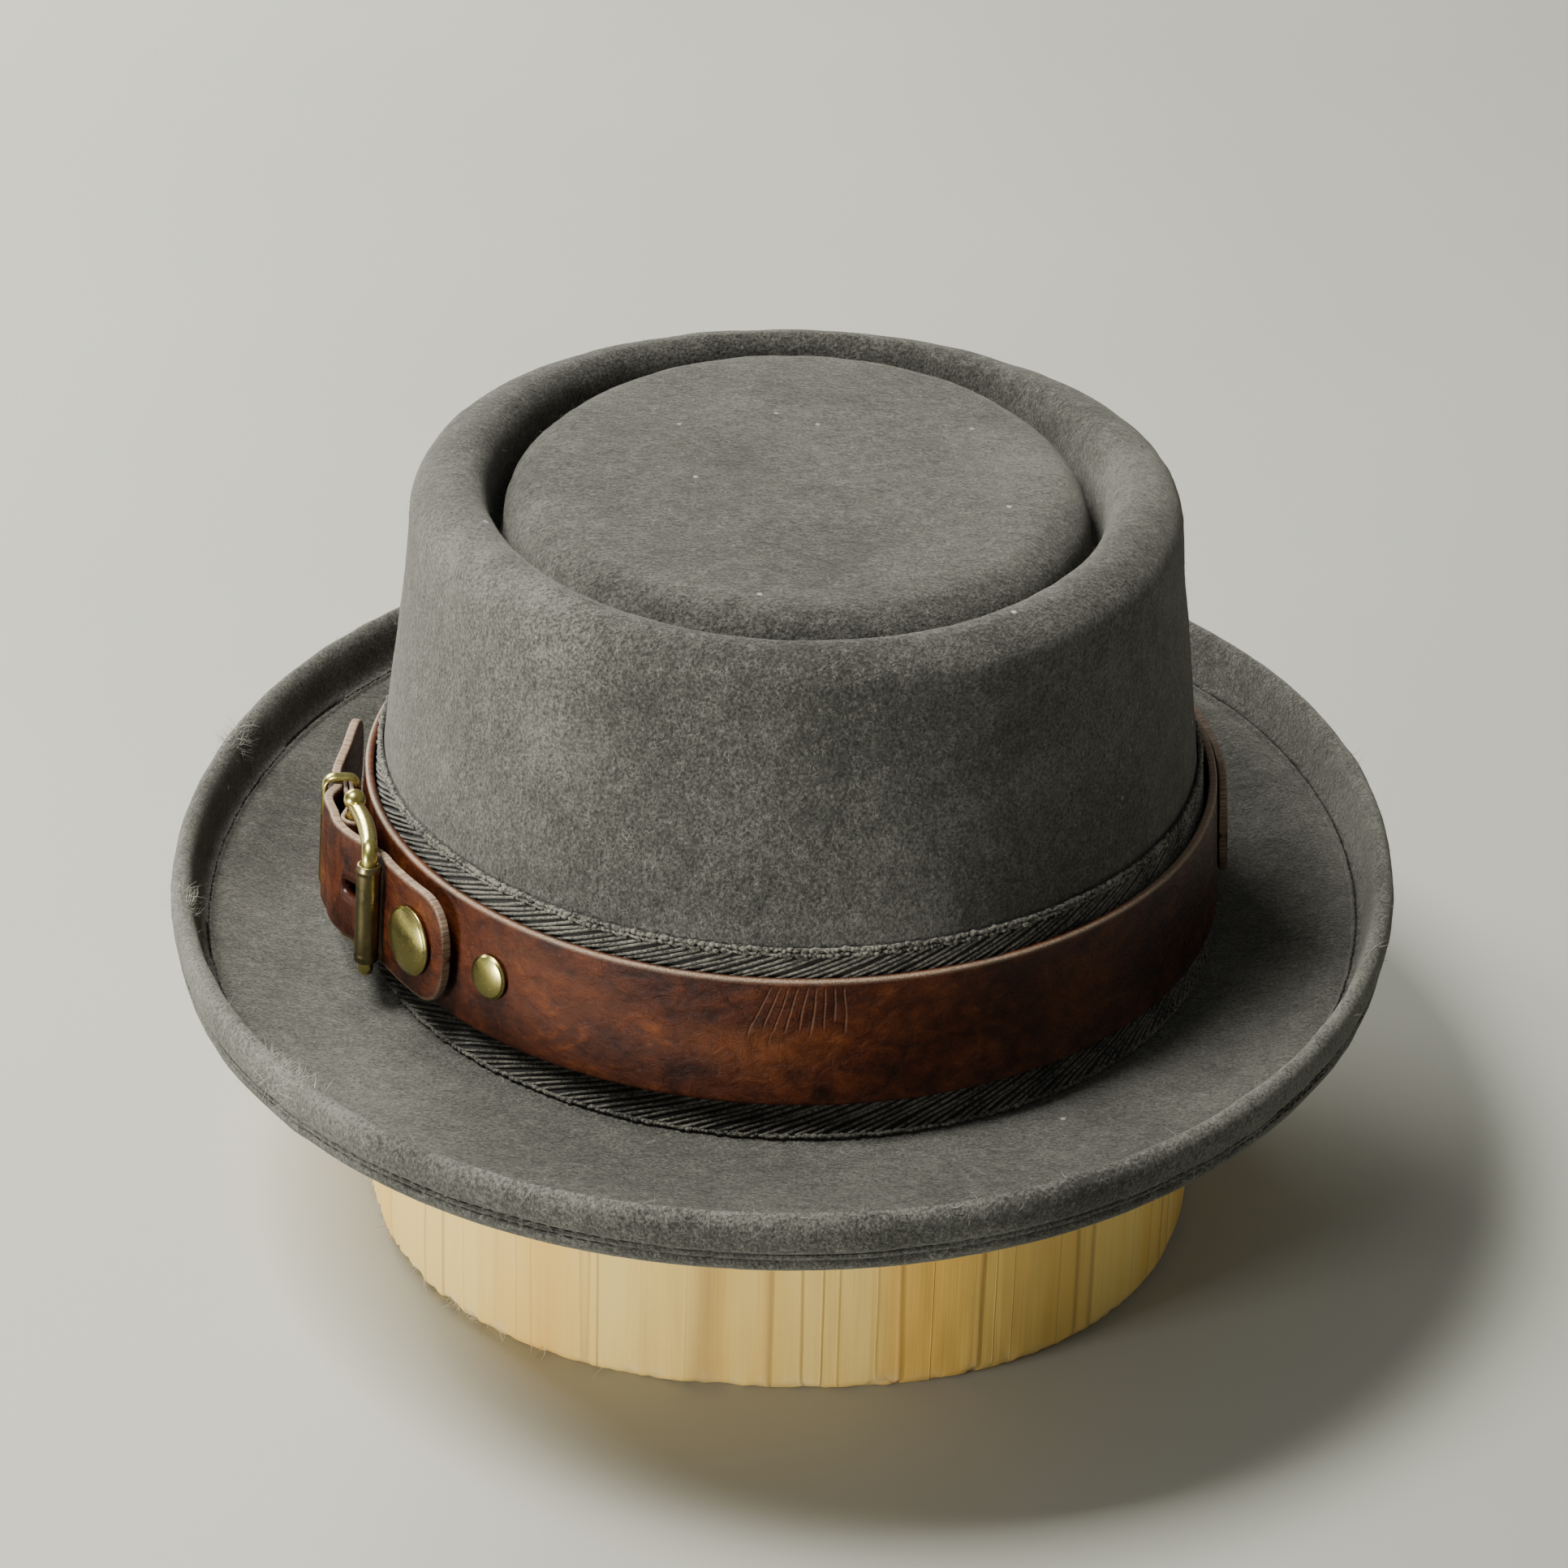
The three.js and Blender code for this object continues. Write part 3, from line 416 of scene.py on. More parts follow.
def feltMaterial():
    material, tree, shader = newMaterial(
        "greyFelt", 0.96, SheenWeight=0.3, SheenRoughness=0.45, SheenTint=(0.8, 0.79, 0.7, 1), SpecularIORLevel=0.12)
    place = objectPlace(tree)
    nap = noiseAt(place, feltLook["napScale"], 4, 0.72)
    clumps = noiseAt(place, feltLook["napScale"] * 0.35, 4, 0.65, 0.3)
    mottle = noiseAt(place, feltLook["mottleScale"], 5, 0.62)
    large = noiseAt(place, 17, 3, 0.5, 0.4)
    shade = plus(times(nap, 0.84), times(clumps, 0.16))
    for soft, amount in ((mottle, 0.19), (large, 0.36)):
        shade = plus(shade, times(minus(soft, 0.5), amount))
    colour = colourRamp(shade, [
        (0.37, feltLook["dark"]), (0.5, feltLook["middle"]), (0.65, feltLook["light"])])
    patches = remap(noiseAt(place, 300, 2), 0.42, 0.6)
    for scale in feltLook["strandScales"]:
        lines = times(fineLines(place, scale, 0.03), patches)
        colour = mixColour(times(lines, 0.3), colour, feltLook["strand"])
    wear = times(layerValue(tree, "wear"), remap(shade, 0.42, 0.6, 0.1, 1.0))
    colour = mixColour(wear, colour, feltLook["worn"])
    dust = addNode(tree, "ShaderNodeTexVoronoi", {"Vector": place, "Scale": feltLook["lintScale"]})
    specks = remap(dust.outputs["Distance"], 0.045, 0.02)
    colour = mixColour(times(specks, 0.8), colour, (0.6, 0.6, 0.54))
    feed(shader, BaseColor=colour)
    addBump(shader, nap, 0.0006, 1.0)
    addBump(shader, clumps, 0.0009, 0.6)
    addBump(shader, noiseAt(place, 190, 3, 0.6, 0.4), 0.0014, 0.3)
    addBump(shader, mottle, 0.003, 0.25)
    return material


def fibreMaterial(name, colour):
    material, tree, shader = newMaterial(name, 0.9, SpecularIORLevel=0.2)
    share = noiseAt(objectPlace(tree), 400, 2)
    darker = tuple(c * 0.55 for c in colour)
    feed(shader, BaseColor=colourRamp(share, [(0.35, darker), (0.65, colour)]))
    return material


def twillMaterial(name, dark, light):
    material, tree, shader = newMaterial(name, 0.88, SheenWeight=0.2, SpecularIORLevel=0.25)
    place = objectPlace(tree)
    fuzz = noiseAt(place, 1500, 5, 0.75)
    patch = noiseAt(place, 90, 3)
    share = plus(fuzz, times(minus(patch, 0.5), 0.35))
    colour = colourRamp(share, [(0.4, dark), (0.62, light)])
    feed(shader, BaseColor=colour)
    addBump(shader, fuzz, 0.0004, 0.8)
    return material


leatherLook = {
    "dark": (0.010, 0.003, 0.0015), "red": (0.042, 0.0095, 0.0035), "brown": (0.085, 0.021, 0.006),
    "amber": (0.19, 0.055, 0.012), "suede": (0.38, 0.275, 0.19), "burnish": (0.55, 0.46, 0.37),
    "line": (0.17, 0.075, 0.035),
    # along, up, half length, half height, share, tone: darker or amber patches as in the photo
    "patches": [
        (6, -1, 17, 5, 0.5, "amber"), (-8.4, -10.4, 2.7, 2.2, 1.0, "dark"), (-42, 2, 12, 9, 0.65, "dark"),
        (-24, 5, 10, 7, 0.35, "dark"), (28, -6, 22, 6, 0.45, "dark"), (-66, 0, 13, 8, 0.4, "amber"),
        (46, 4, 16, 6, 0.3, "amber"), (-100, 0, 26, 16, 0.7, "dark"), (62, -7, 14, 5, 0.4, "dark"),
        (20, 6, 12, 4, 0.3, "dark"), (74, 4, 9, 7, 0.35, "brown"),
    ],
    # fan of creases: first and last line's distance along at its top and foot, heights, number, width
    "creases": {"top": (2.5, -12.0), "foot": (8.0, -12.5), "high": 11.8, "low": -1.5, "count": 9, "width": 0.24},
}


def patchShare(place, along, up, halfLength, halfHeight):
    apart = combineVectors("SUBTRACT", place, (along, up, 0))
    shares = combineVectors("MULTIPLY", apart, (1 / halfLength, 1 / halfHeight, 0))
    length = addNode(treeOf(shares), "ShaderNodeVectorMath", {0: shares}, operation="LENGTH")
    return remap(length.outputs["Value"], 1.25, 0.35)


def creaseLines(place, creases):  # a fan of fine lines down the leather
    tree = treeOf(place)
    axes = addNode(tree, "ShaderNodeSeparateXYZ", {0: place})
    waver = noiseAt(layerPlace(tree, "place", (0.13, 0.1, 1)), 1.0, 1, 0.5)
    along = plus(axes.outputs["X"], times(minus(waver, 0.5), 1.6))
    down = remap(axes.outputs["Y"], creases["high"], creases["low"])
    first, last = (remap(down, 0.0, 1.0, creases["top"][k], creases["foot"][k]) for k in (0, 1))
    across = combine("DIVIDE", minus(along, first), minus(last, first))
    counted = times(across, creases["count"] - 1.0)
    nearest = apartFrom(counted, combine("ROUND", counted))
    spacing = (creases["top"][0] - creases["top"][1]) / creases["count"]
    line = remap(nearest, creases["width"] / spacing, creases["width"] / spacing * 0.3)
    inFan = times(remap(across, -0.08, -0.04), remap(across, 1.08, 1.04))
    uneven = noiseAt(layerPlace(tree, "place", (0.55, 0.02, 1)), 1.0, 1)
    length = minus(remap(uneven, 0.3, 0.7, 0.55, 0.98), down)
    ends = times(remap(length, 0.0, 0.25), remap(down, 0.0, 0.06))
    return times(times(line, inFan), ends)


def leatherMaterial(name, gloss, patches=(), creases=None):
    material, tree, shader = newMaterial(name, gloss, SpecularIORLevel=0.24, CoatWeight=0.07, CoatRoughness=0.2)
    place = layerPlace(tree, "place")
    wide = noiseAt(layerPlace(tree, "place", (0.06, 0.1, 1)), 1.0, 4, 0.6, 0.8)
    drift = noiseAt(layerPlace(tree, "place", (0.22, 0.32, 1)), 1.0, 5, 0.65, 0.6)
    fine = noiseAt(place, 1.6, 6, 0.65)
    tone = plus(times(wide, 0.55), times(drift, 0.45))
    tone = plus(tone, times(minus(fine, 0.5), 0.16))
    colour = colourRamp(tone, [
        (0.34, leatherLook["dark"]), (0.46, leatherLook["red"]), (0.58, leatherLook["brown"]),
        (0.72, leatherLook["amber"])])
    wobble = noiseAt(place, 0.35, 4)
    for along, up, halfLength, halfHeight, share, target in patches:
        inside = patchShare(place, along, up, halfLength, halfHeight)
        ragged = times(inside, remap(wobble, 0.35, 0.6, 0.35, 1.0))
        colour = mixColour(times(ragged, share), colour, leatherLook[target])
    pores = noiseAt(place, 5.5, 3, 0.6)
    speckle = remap(noiseAt(place, 3.4, 3, 0.7), 0.6, 0.72, 0, 0.5)
    colour = mixColour(speckle, colour, leatherLook["dark"])
    scratch = noiseAt(layerPlace(tree, "place", (2.2, 0.35, 1)), 1.0, 3, 0.6, 0.8)
    scratches = remap(apartFrom(scratch, 0.5), 0.01, 0.002)
    scratches = times(scratches, remap(noiseAt(place, 0.1, 2), 0.5, 0.64))
    colour = mixColour(times(scratches, 0.3), colour, leatherLook["line"])
    if creases:
        cracks = creaseLines(place, creases)
        colour = mixColour(times(cracks, 0.5), colour, leatherLook["line"])
        addBump(shader, times(cracks, -1.0), 0.0004, 0.7)
    edge = layerValue(tree, "edge")
    # raw edges, and the band's painted highlight line along its top corner, take a suede-to-burnish colour
    rough = times(edge, remap(fine, 0.3, 0.6, 0.75, 1.0))
    rawEdgeAndHighlightColour = colourRamp(noiseAt(place, 3.2, 5, 0.8), [
        (0.34, (0.09, 0.055, 0.035)), (0.52, leatherLook["suede"]), (0.7, leatherLook["burnish"])])
    colour = mixColour(rough, colour, rawEdgeAndHighlightColour)
    feed(shader, BaseColor=colour)
    glossNoise = remap(noiseAt(place, 0.8, 5, 0.65), 0.3, 0.7, gloss * 0.7, gloss * 1.7)
    feed(shader, Roughness=plus(glossNoise, times(edge, 0.4)))
    addBump(shader, pores, 0.00022, 0.6)
    addBump(shader, drift, 0.0014, 0.35)
    addBump(shader, scratches, 0.00015, -0.5)
    return material


def metalMaterial(name, dark, light, roughness):
    material, tree, shader = newMaterial(name, roughness, Metallic=1.0)
    place = objectPlace(tree)
    patina = noiseAt(place, 260, 5, 0.65)
    fine = noiseAt(place, 1400, 4, 0.7)
    share = plus(times(patina, 0.7), times(fine, 0.3))
    feed(shader, BaseColor=colourRamp(share, [(0.36, dark), (0.6, light)]),
         Roughness=remap(share, 0.35, 0.65, roughness * 1.35, roughness * 0.8))
    addBump(shader, fine, 0.00003, 0.5)
    addBump(shader, patina, 0.00006, 0.35)
    return material


pineLook = {
    "pale": (0.95, 0.69, 0.22), "warm": (0.88, 0.54, 0.12), "grain": (0.42, 0.24, 0.08), "raw": (0.86, 0.77, 0.56),
}


def pineMaterial():
    material, tree, shader = newMaterial("palePine", 0.45, SpecularIORLevel=0.25)
    broad = noiseAt(objectPlace(tree, (1, 1, 0.05)), 38, 3, 0.5, 0.4)
    colour = colourRamp(broad, [(0.36, pineLook["warm"]), (0.58, pineLook["pale"])])
    wavy = noiseAt(objectPlace(tree, (1, 1, 0.012)), 46, 1.5, 0.45, 0.3)
    lines = remap(apartFrom(wavy, 0.47), 0.014, 0.002)
    other = noiseAt(objectPlace(tree, (1.3, 1.3, 0.008)), 70, 1.0, 0.4)
    thin = remap(apartFrom(other, 0.55), 0.012, 0.002)
    lines = combine("MAXIMUM", lines, times(thin, 0.6))
    colour = mixColour(times(lines, 0.55), colour, pineLook["grain"])
    fine = noiseAt(objectPlace(tree, (1, 1, 0.02)), 420, 4, 0.6)
    colour = mixColour(remap(fine, 0.56, 0.74, 0, 0.25), colour, pineLook["grain"])
    chips = layerValue(tree, "chips")
    colour = mixColour(times(chips, 0.7), colour, pineLook["raw"])
    feed(shader, BaseColor=colour, Roughness=remap(fine, 0.3, 0.7, 0.42, 0.62))
    addBump(shader, fine, 0.00025, 0.5)
    addBump(shader, lines, 0.0003, 0.35)
    return material


greyFelt = feltMaterial()
feltFibre = fibreMaterial("feltFibre", (0.24, 0.237, 0.20))
wornFibre = fibreMaterial("wornFibre", (0.55, 0.54, 0.47))
splinterWood = fibreMaterial("splinterWood", (0.86, 0.77, 0.56))
darkThread = fibreMaterial("darkThread", (0.028, 0.028, 0.024))
# near-black ground: the ribbon's own dark colour, deepened to stand for painted shade between the cords
ribbonGroundPaintedShade = twillMaterial("ribbonGroundPaintedShade", (0.006, 0.006, 0.005), (0.022, 0.021, 0.017))
ribbonCord = twillMaterial("ribbonCord", (0.020, 0.019, 0.015), (0.21, 0.20, 0.165))
ribbonEdge = twillMaterial("ribbonEdge", (0.03, 0.029, 0.023), (0.24, 0.23, 0.19))
bandLeather = leatherMaterial("bandLeather", 0.25, leatherLook["patches"], leatherLook["creases"])
strapLeather = leatherMaterial("strapLeather", 0.3)
antiqueBrass = metalMaterial("antiqueBrass", (0.40, 0.35, 0.10), (0.60, 0.53, 0.19), 0.26)
darkBronze = metalMaterial("darkBronze", (0.12, 0.10, 0.045), (0.24, 0.205, 0.10), 0.34)
palePine = pineMaterial()
print("materials made")


# Felt body
felt = {
    "around": 288, "perSpan": 12, "outerStep": 1.5, "innerStep": 4.5, "nap": 0.05,
    "bumps": [(0.45, 38, 1), (0.2, 9, 2), (0.11, 4.5, 4)],  # height, size and seed of dents, ripples, crumples
    "calmHeights": (46, 56), "napAbove": 44, "brimRun": 75,  # above the leather, and the brim's length
    "flapRise": 0.8, "flapReach": 1.9, "grooves": (2.5, 3.9), "grooveDepth": 0.45, "grooveWidth": 0.45,
    # x, y, z, radius and strength of rubbed, lighter places
    "rubbed": [
        (-52, -60, 159, 34, 0.55), (-60, 10, 150, 30, 0.3), (-72, -48, 118, 30, 0.28), (60, -55, 158, 30, 0.25),
        (-50, -70, 128, 24, 0.3), (-43, -72, 154, 16, 0.45), (-50, -22, 157, 15, 0.55), (-14, -62, 156, 14, 0.4),
        (20, -95, 120, 26, 0.22), (115, -60, 74, 34, 0.3),
    ],
    # x, y, z and radius of the frayed places on the rim
    "frayed": [(-123.5, 37, 78, 5), (-123.5, -39, 78, 4), (-98, -105, 78, 5), (-92, -112, 78, 5)],
}


def arcPoints(centre, radii, fromAngle, toAngle, steps):
    angles = np.radians(np.linspace(fromAngle, toAngle, steps + 1))
    return [(centre[0] + radii[0] * math.cos(a), centre[1] + radii[1] * math.sin(a)) for a in angles]


def feltFace():  # the outer face from the middle of the tip to the underside of the rim's fold
    ridge = hat["crownTopHalfWidth"] - hat["shoulderWidth"]
    creaseOuter = ridge - hat["ridgeInnerWidth"]
    island = creaseOuter - hat["creaseWidth"]
    creaseRadius = hat["creaseWidth"] / 2
    edge = hat["islandEdgeRadius"]
    top = hat["crownHeight"] - hat["islandEdgeDrop"]
    flat = island - edge
    foot = (hat["crownHalfWidth"] + hat["footRadius"], hat["feltWall"] + hat["footRadius"])
    brimReach = rimOuter - hat["rimThickness"] * rimShape[0][0] - foot[0]
    rimSpan = hat["rimHeight"] - hat["rimFoldHeight"]
    rows = [(0.6, top + hat["islandDome"]), (flat * 0.25, top + hat["islandDome"] * 0.94),
            (flat / 2, top + hat["islandDome"] * 0.75)]
    rows += arcPoints((flat, top - edge), (edge, edge), 90, 0, 9)
    rows += arcPoints((island + creaseRadius, hat["crownHeight"] - hat["creaseDepth"] + creaseRadius),
                      (creaseRadius, creaseRadius), 180, 360, 9)
    rows += arcPoints((ridge, hat["crownHeight"] - hat["ridgeInnerDrop"]),
                      (hat["ridgeInnerWidth"], hat["ridgeInnerDrop"]), 180, 90, 9)
    rows += arcPoints((ridge, shoulderHeight), (hat["shoulderWidth"], hat["shoulderDrop"]), 90, 0, 10)[1:]
    rows += [tuple(row) for row in wallRows[1:-1][::-1]]
    rows += arcPoints(foot, (hat["footRadius"], hat["footRadius"]), 180, 270, 6)
    rows += [(foot[0] + brimReach * out, hat["feltWall"] + hat["brimRise"] * up) for out, up in brimShape]
    rimStart = len(rows)
    rows += [(rimOuter - hat["rimThickness"] * inward, hat["rimFoldHeight"] + rimSpan * up)
             for inward, up in rimShape]
    return np.array(rows), rimStart, flat


def feltRings(rows, flat, angles):
    w, h = rows[:, 0][:, None], rows[:, 1][:, None]
    island = np.minimum(1, w / flat)
    brim = np.clip((w - hat["crownHalfWidth"]) / (hat["brimSideWidth"] - hat["rimThickness"]), 0, 1)
    topHalf, crestHalf = hat["crownTopHalfWidth"], hat["crownTopHalfWidth"] - hat["shoulderWidth"]
    tip = np.clip((topHalf - hat["feltWall"] * 1.5 - w) / (hat["shoulderWidth"] - hat["feltWall"] * 0.5), 0, 1)
    inner = np.clip((crestHalf - w) / (hat["ridgeInnerWidth"] + hat["creaseWidth"]), 0, 1)
    front, back = ((ridgeReach * tip * (1 - inner) + islandReach * inner) * island
                   for ridgeReach, islandReach in zip(hat["ridgeReach"], hat["islandReach"]))
    islandHalf = crestHalf - hat["ridgeInnerWidth"] - hat["creaseWidth"]
    ridge = np.where(w > islandHalf, np.clip((h - shoulderHeight) / hat["shoulderDrop"], 0, 1), 0)
    depth = w + ovalExtraAt(h) * island + (front + back) / 2 + (hat["brimFrontWidth"] - hat["brimSideWidth"]) * brim
    squareness = 2 + (hat["brimSquareness"] - 2) * brim
    rings = ovalPlace(w, depth, angles[None, :], standHeight + h, squareness)
    rings[..., 2] -= hat["ridgeFrontDip"] * ridge * np.clip(-rings[..., 1] / depth, 0, 1) ** 2
    rings[..., 2] -= hat["ridgeBackDip"] * ridge * np.clip(rings[..., 1] / depth, 0, 1) ** 2
    rings[..., 1] += (back - front) / 2
    rings[..., 2] -= hat["brimSideLean"] * brim * rings[..., 0] / rimOuter
    turn = np.radians(hat["brimTurn"]) * brim
    x, y = rings[..., 0].copy(), rings[..., 1].copy()
    rings[..., 0] = x * np.cos(turn) - y * np.sin(turn)
    rings[..., 1] = x * np.sin(turn) + y * np.cos(turn)
    return rings


def ringNormals(rings):  # outward by differences along and across the rings
    across = np.gradient(rings, axis=0)
    along = np.roll(rings, -1, axis=1) - np.roll(rings, 1, axis=1)
    return unit(np.cross(along, across))


def feltProfile():  # rows of both faces, and distances along the outer one from the middle of the tip
    points, rimStart, flat = feltFace()
    perSpan = felt["perSpan"]
    outer = centripetalCurve(points, perSpan)
    lengths = lengthsAlong(outer)
    rimFoot, crest, lowest = (lengths[k * perSpan] for k in (rimStart, rimStart + 4, len(points) - 2))
    flapEdge = rimFoot - felt["flapReach"]
    grooves = [lowest - up for up in felt["grooves"]]
    distances = [np.arange(0, lengths[-1], felt["outerStep"]), [lengths[-1]]]
    for special in [flapEdge] + grooves:
        distances.append(special + np.array([-0.9, -0.45, -0.22, 0, 0.22, 0.45, 0.9]))
    distances = np.unique(np.round(np.clip(np.concatenate(distances), 0, lengths[-1]), 2))
    rows = pointsAt(outer, distances)
    relief = felt["flapRise"] * smoothStep(flapEdge - 0.2, flapEdge + 0.25, distances)
    relief *= smoothStep(crest + 1, crest - 9, distances)
    for groove in grooves:
        relief -= felt["grooveDepth"] * np.exp(-((distances - groove) / felt["grooveWidth"]) ** 2)
    tangent = unit(np.gradient(rows, axis=0))
    shaped = rows + np.stack([-tangent[:, 1], tangent[:, 0]], -1) * relief[:, None]
    inner = outer[: rimStart * perSpan]
    inner = pointsAt(inner, np.arange(0, lengthsAlong(inner)[-1], felt["innerStep"]))
    slope = unit(np.gradient(inner, axis=0))
    inner = inner + np.stack([slope[:, 1], -slope[:, 0]], -1) * hat["feltWall"]
    inner[:, 0] = np.maximum(inner[:, 0], 0.6)
    marks = {"flap": flapEdge, "grooves": grooves, "lowest": lowest, "crest": crest, "end": lengths[-1]}
    return rows, shaped, inner, flat, distances, marks


def roughFelt(rings, rows, distances, marks):  # dents, ripples and nap, calm where the ribbon needs it even
    normals = ringNormals(rings)
    if normals[40, :, 2].mean() < 0:
        normals = -normals
    calm = smoothStep(*felt["calmHeights"], rings[..., 2] - standHeight)
    onBrim = (distances > marks["end"] - felt["brimRun"])[:, None] & (distances < marks["lowest"])[:, None]
    nearRim = smoothStep(rimOuter - 34, rimOuter - 26, np.abs(rows[:, 0]))[:, None]
    calm = np.where(onBrim, nearRim, np.clip(calm, 0.06, 1))
    shift = felt["nap"] * roughAt(rings, 1.6, 3)
    for amount, size, seed in felt["bumps"]:
        shift += amount * roughAt(rings, size, seed) * calm
    return rings + normals * shift[..., None]


def feltLayers(rings, rows, angles, distances, crest):  # shares of wear, of nap and of frayed fibres
    def nearness(place, radius, most=1.0):  # falls from most at a place to zero
        return np.clip(most - np.linalg.norm(rings - np.array(place), axis=-1) / radius, 0, 1)
    count = len(rows)
    wear, naps, frays = (np.zeros(rings.shape[:2]) for _ in range(3))
    crestShare = np.exp(-((distances - crest) / 2.6) ** 2)[:, None]
    fromRight = 0.5 + 0.5 * np.cos(angles + np.radians(35))[None, :]
    wear[:count] += crestShare * (0.35 + 0.45 * fromRight)
    for *place, radius, strength in felt["rubbed"]:
        wear += strength * nearness(place, radius)
    wear = np.clip(wear * (0.75 + 0.5 * roughAt(rings, 6, 5)), 0, 1)
    naps[:count] = 0.35 + 0.65 * crestShare
    hidden = (rings[:count, :, 2] < standHeight + felt["napAbove"]) & (np.abs(rows[:, 0]) < rimOuter - 36)[:, None]
    naps[:count] *= np.where(hidden, 0.05, 1)
    for *place, radius in felt["frayed"]:
        frays[:count] += nearness(place, radius, 1.2)[:count]
    frays[:count] += 0.012 * crestShare * fromRight
    return {"wear": wear, "nap": naps, "fray": frays}


def buildFelt():
    rows, shaped, inner, flat, distances, marks = feltProfile()
    angles = np.linspace(0, 2 * np.pi, felt["around"], endpoint=False)
    rings = roughFelt(feltRings(shaped, flat, angles), rows, distances, marks)
    rings = np.concatenate([rings, feltRings(inner[::-1], flat, angles)])
    piece = ringPiece("felt_hat", rings, greyFelt, feltLayers(rings, rows, angles, distances, marks["crest"]))

    def lineAt(distance):
        return feltRings(shaped[np.abs(distances - distance).argmin()][None, :], flat, angles)[0]
    return piece, lineAt(marks["flap"] + 1.6), [lineAt(groove) for groove in marks["grooves"]]


feltPiece, flapLine, grooveLines = buildFelt()
finishPiece(feltPiece, "felt", "felt_body")
print("felt made:", len(feltPiece.data.polygons), "faces")


# Geometry node trees
def newTree(name, inputs):
    tree = bpy.data.node_groups.new(name, "GeometryNodeTree")
    tree.interface.new_socket("Geometry", in_out="INPUT", socket_type="NodeSocketGeometry")
    for label, (kind, value) in inputs.items():
        socket = tree.interface.new_socket(label, in_out="INPUT", socket_type="NodeSocket" + kind)
        if value is not None:
            socket.default_value = value
    tree.interface.new_socket("Geometry", in_out="OUTPUT", socket_type="NodeSocketGeometry")
    return tree, tree.nodes.new("NodeGroupInput").outputs


def closeTree(tree, geometry, given):
    for kind, sources in (("SetShadeSmooth", {}), ("RealizeInstances", {}),
                          ("SetMaterial", {"Material": given["Material"]})):
        geometry = made(tree, "GeometryNode" + kind, {"Geometry": geometry, **sources})
    tree.links.new(geometry, tree.nodes.new("NodeGroupOutput").inputs[0])
    return tree


def scaled(vector, amount):
    return made(treeOf(vector), "ShaderNodeVectorMath", {0: vector, "Scale": amount}, operation="SCALE")


def randomValue(tree, given, low, high, vector=False):
    first = 0 if vector else 2
    node = addNode(tree, "FunctionNodeRandomValue", {first: low, first + 1: high, "Seed": given["Seed"]},
                   data_type="FLOAT_VECTOR" if vector else "FLOAT")
    return node.outputs[0 if vector else 1]


def cordTree():  # turns lines into round fuzzy cords
    tree, given = newTree("followCords", {
        "Cord radius": ("Float", 0.0005), "Sides": ("Int", 6), "Fuzz": ("Float", 0.0001),
        "Fuzz scale": ("Float", 900.0), "Material": ("Material", None)})
    curve = made(tree, "GeometryNodeMeshToCurve", {"Mesh": given["Geometry"]})
    profile = made(tree, "GeometryNodeCurvePrimitiveCircle", {
        "Resolution": given["Sides"], "Radius": given["Cord radius"]})
    cords = made(tree, "GeometryNodeCurveToMesh", {"Curve": curve, "Profile Curve": profile, "Fill Caps": True})
    fuzz = addNode(tree, "ShaderNodeTexNoise", {"Scale": given["Fuzz scale"], "Detail": 2.0}).outputs["Color"]
    offset = scaled(combineVectors("SUBTRACT", fuzz, (0.5, 0.5, 0.5)), given["Fuzz"])
    moved = made(tree, "GeometryNodeSetPosition", {"Geometry": cords, "Offset": offset})
    return closeTree(tree, moved, given)


def stitchTree():  # repeats a small thread bead along a line
    tree, given = newTree("repeatStitches", {
        "Count": ("Int", 300), "Length": ("Float", 0.002), "Width": ("Float", 0.0006), "Jitter": ("Float", 0.0),
        "Size spread": ("Float", 0.2), "Seed": ("Int", 3), "Material": ("Material", None)})
    curve = made(tree, "GeometryNodeMeshToCurve", {"Mesh": given["Geometry"]})
    points = addNode(tree, "GeometryNodeCurveToPoints", {"Curve": curve, "Count": given["Count"]}, mode="COUNT")
    size = made(tree, "ShaderNodeCombineXYZ", {0: given["Width"], 1: given["Width"], 2: given["Length"]})
    bead = made(tree, "GeometryNodeMeshUVSphere", {"Segments": 7, "Rings": 5, "Radius": 0.5})
    jitter = scaled(randomValue(tree, given, (-1, -1, -1), (1, 1, 1), True), given["Jitter"])
    placed = made(tree, "GeometryNodeSetPosition", {"Geometry": points.outputs[0], "Offset": jitter})
    spread = given["Size spread"]
    grown = scaled(size, randomValue(tree, given, minus(1.0, spread), plus(1.0, spread)))
    beads = made(tree, "GeometryNodeInstanceOnPoints", {
        "Points": placed, "Instance": bead, "Rotation": points.outputs["Rotation"], "Scale": grown})
    return closeTree(tree, beads, given)


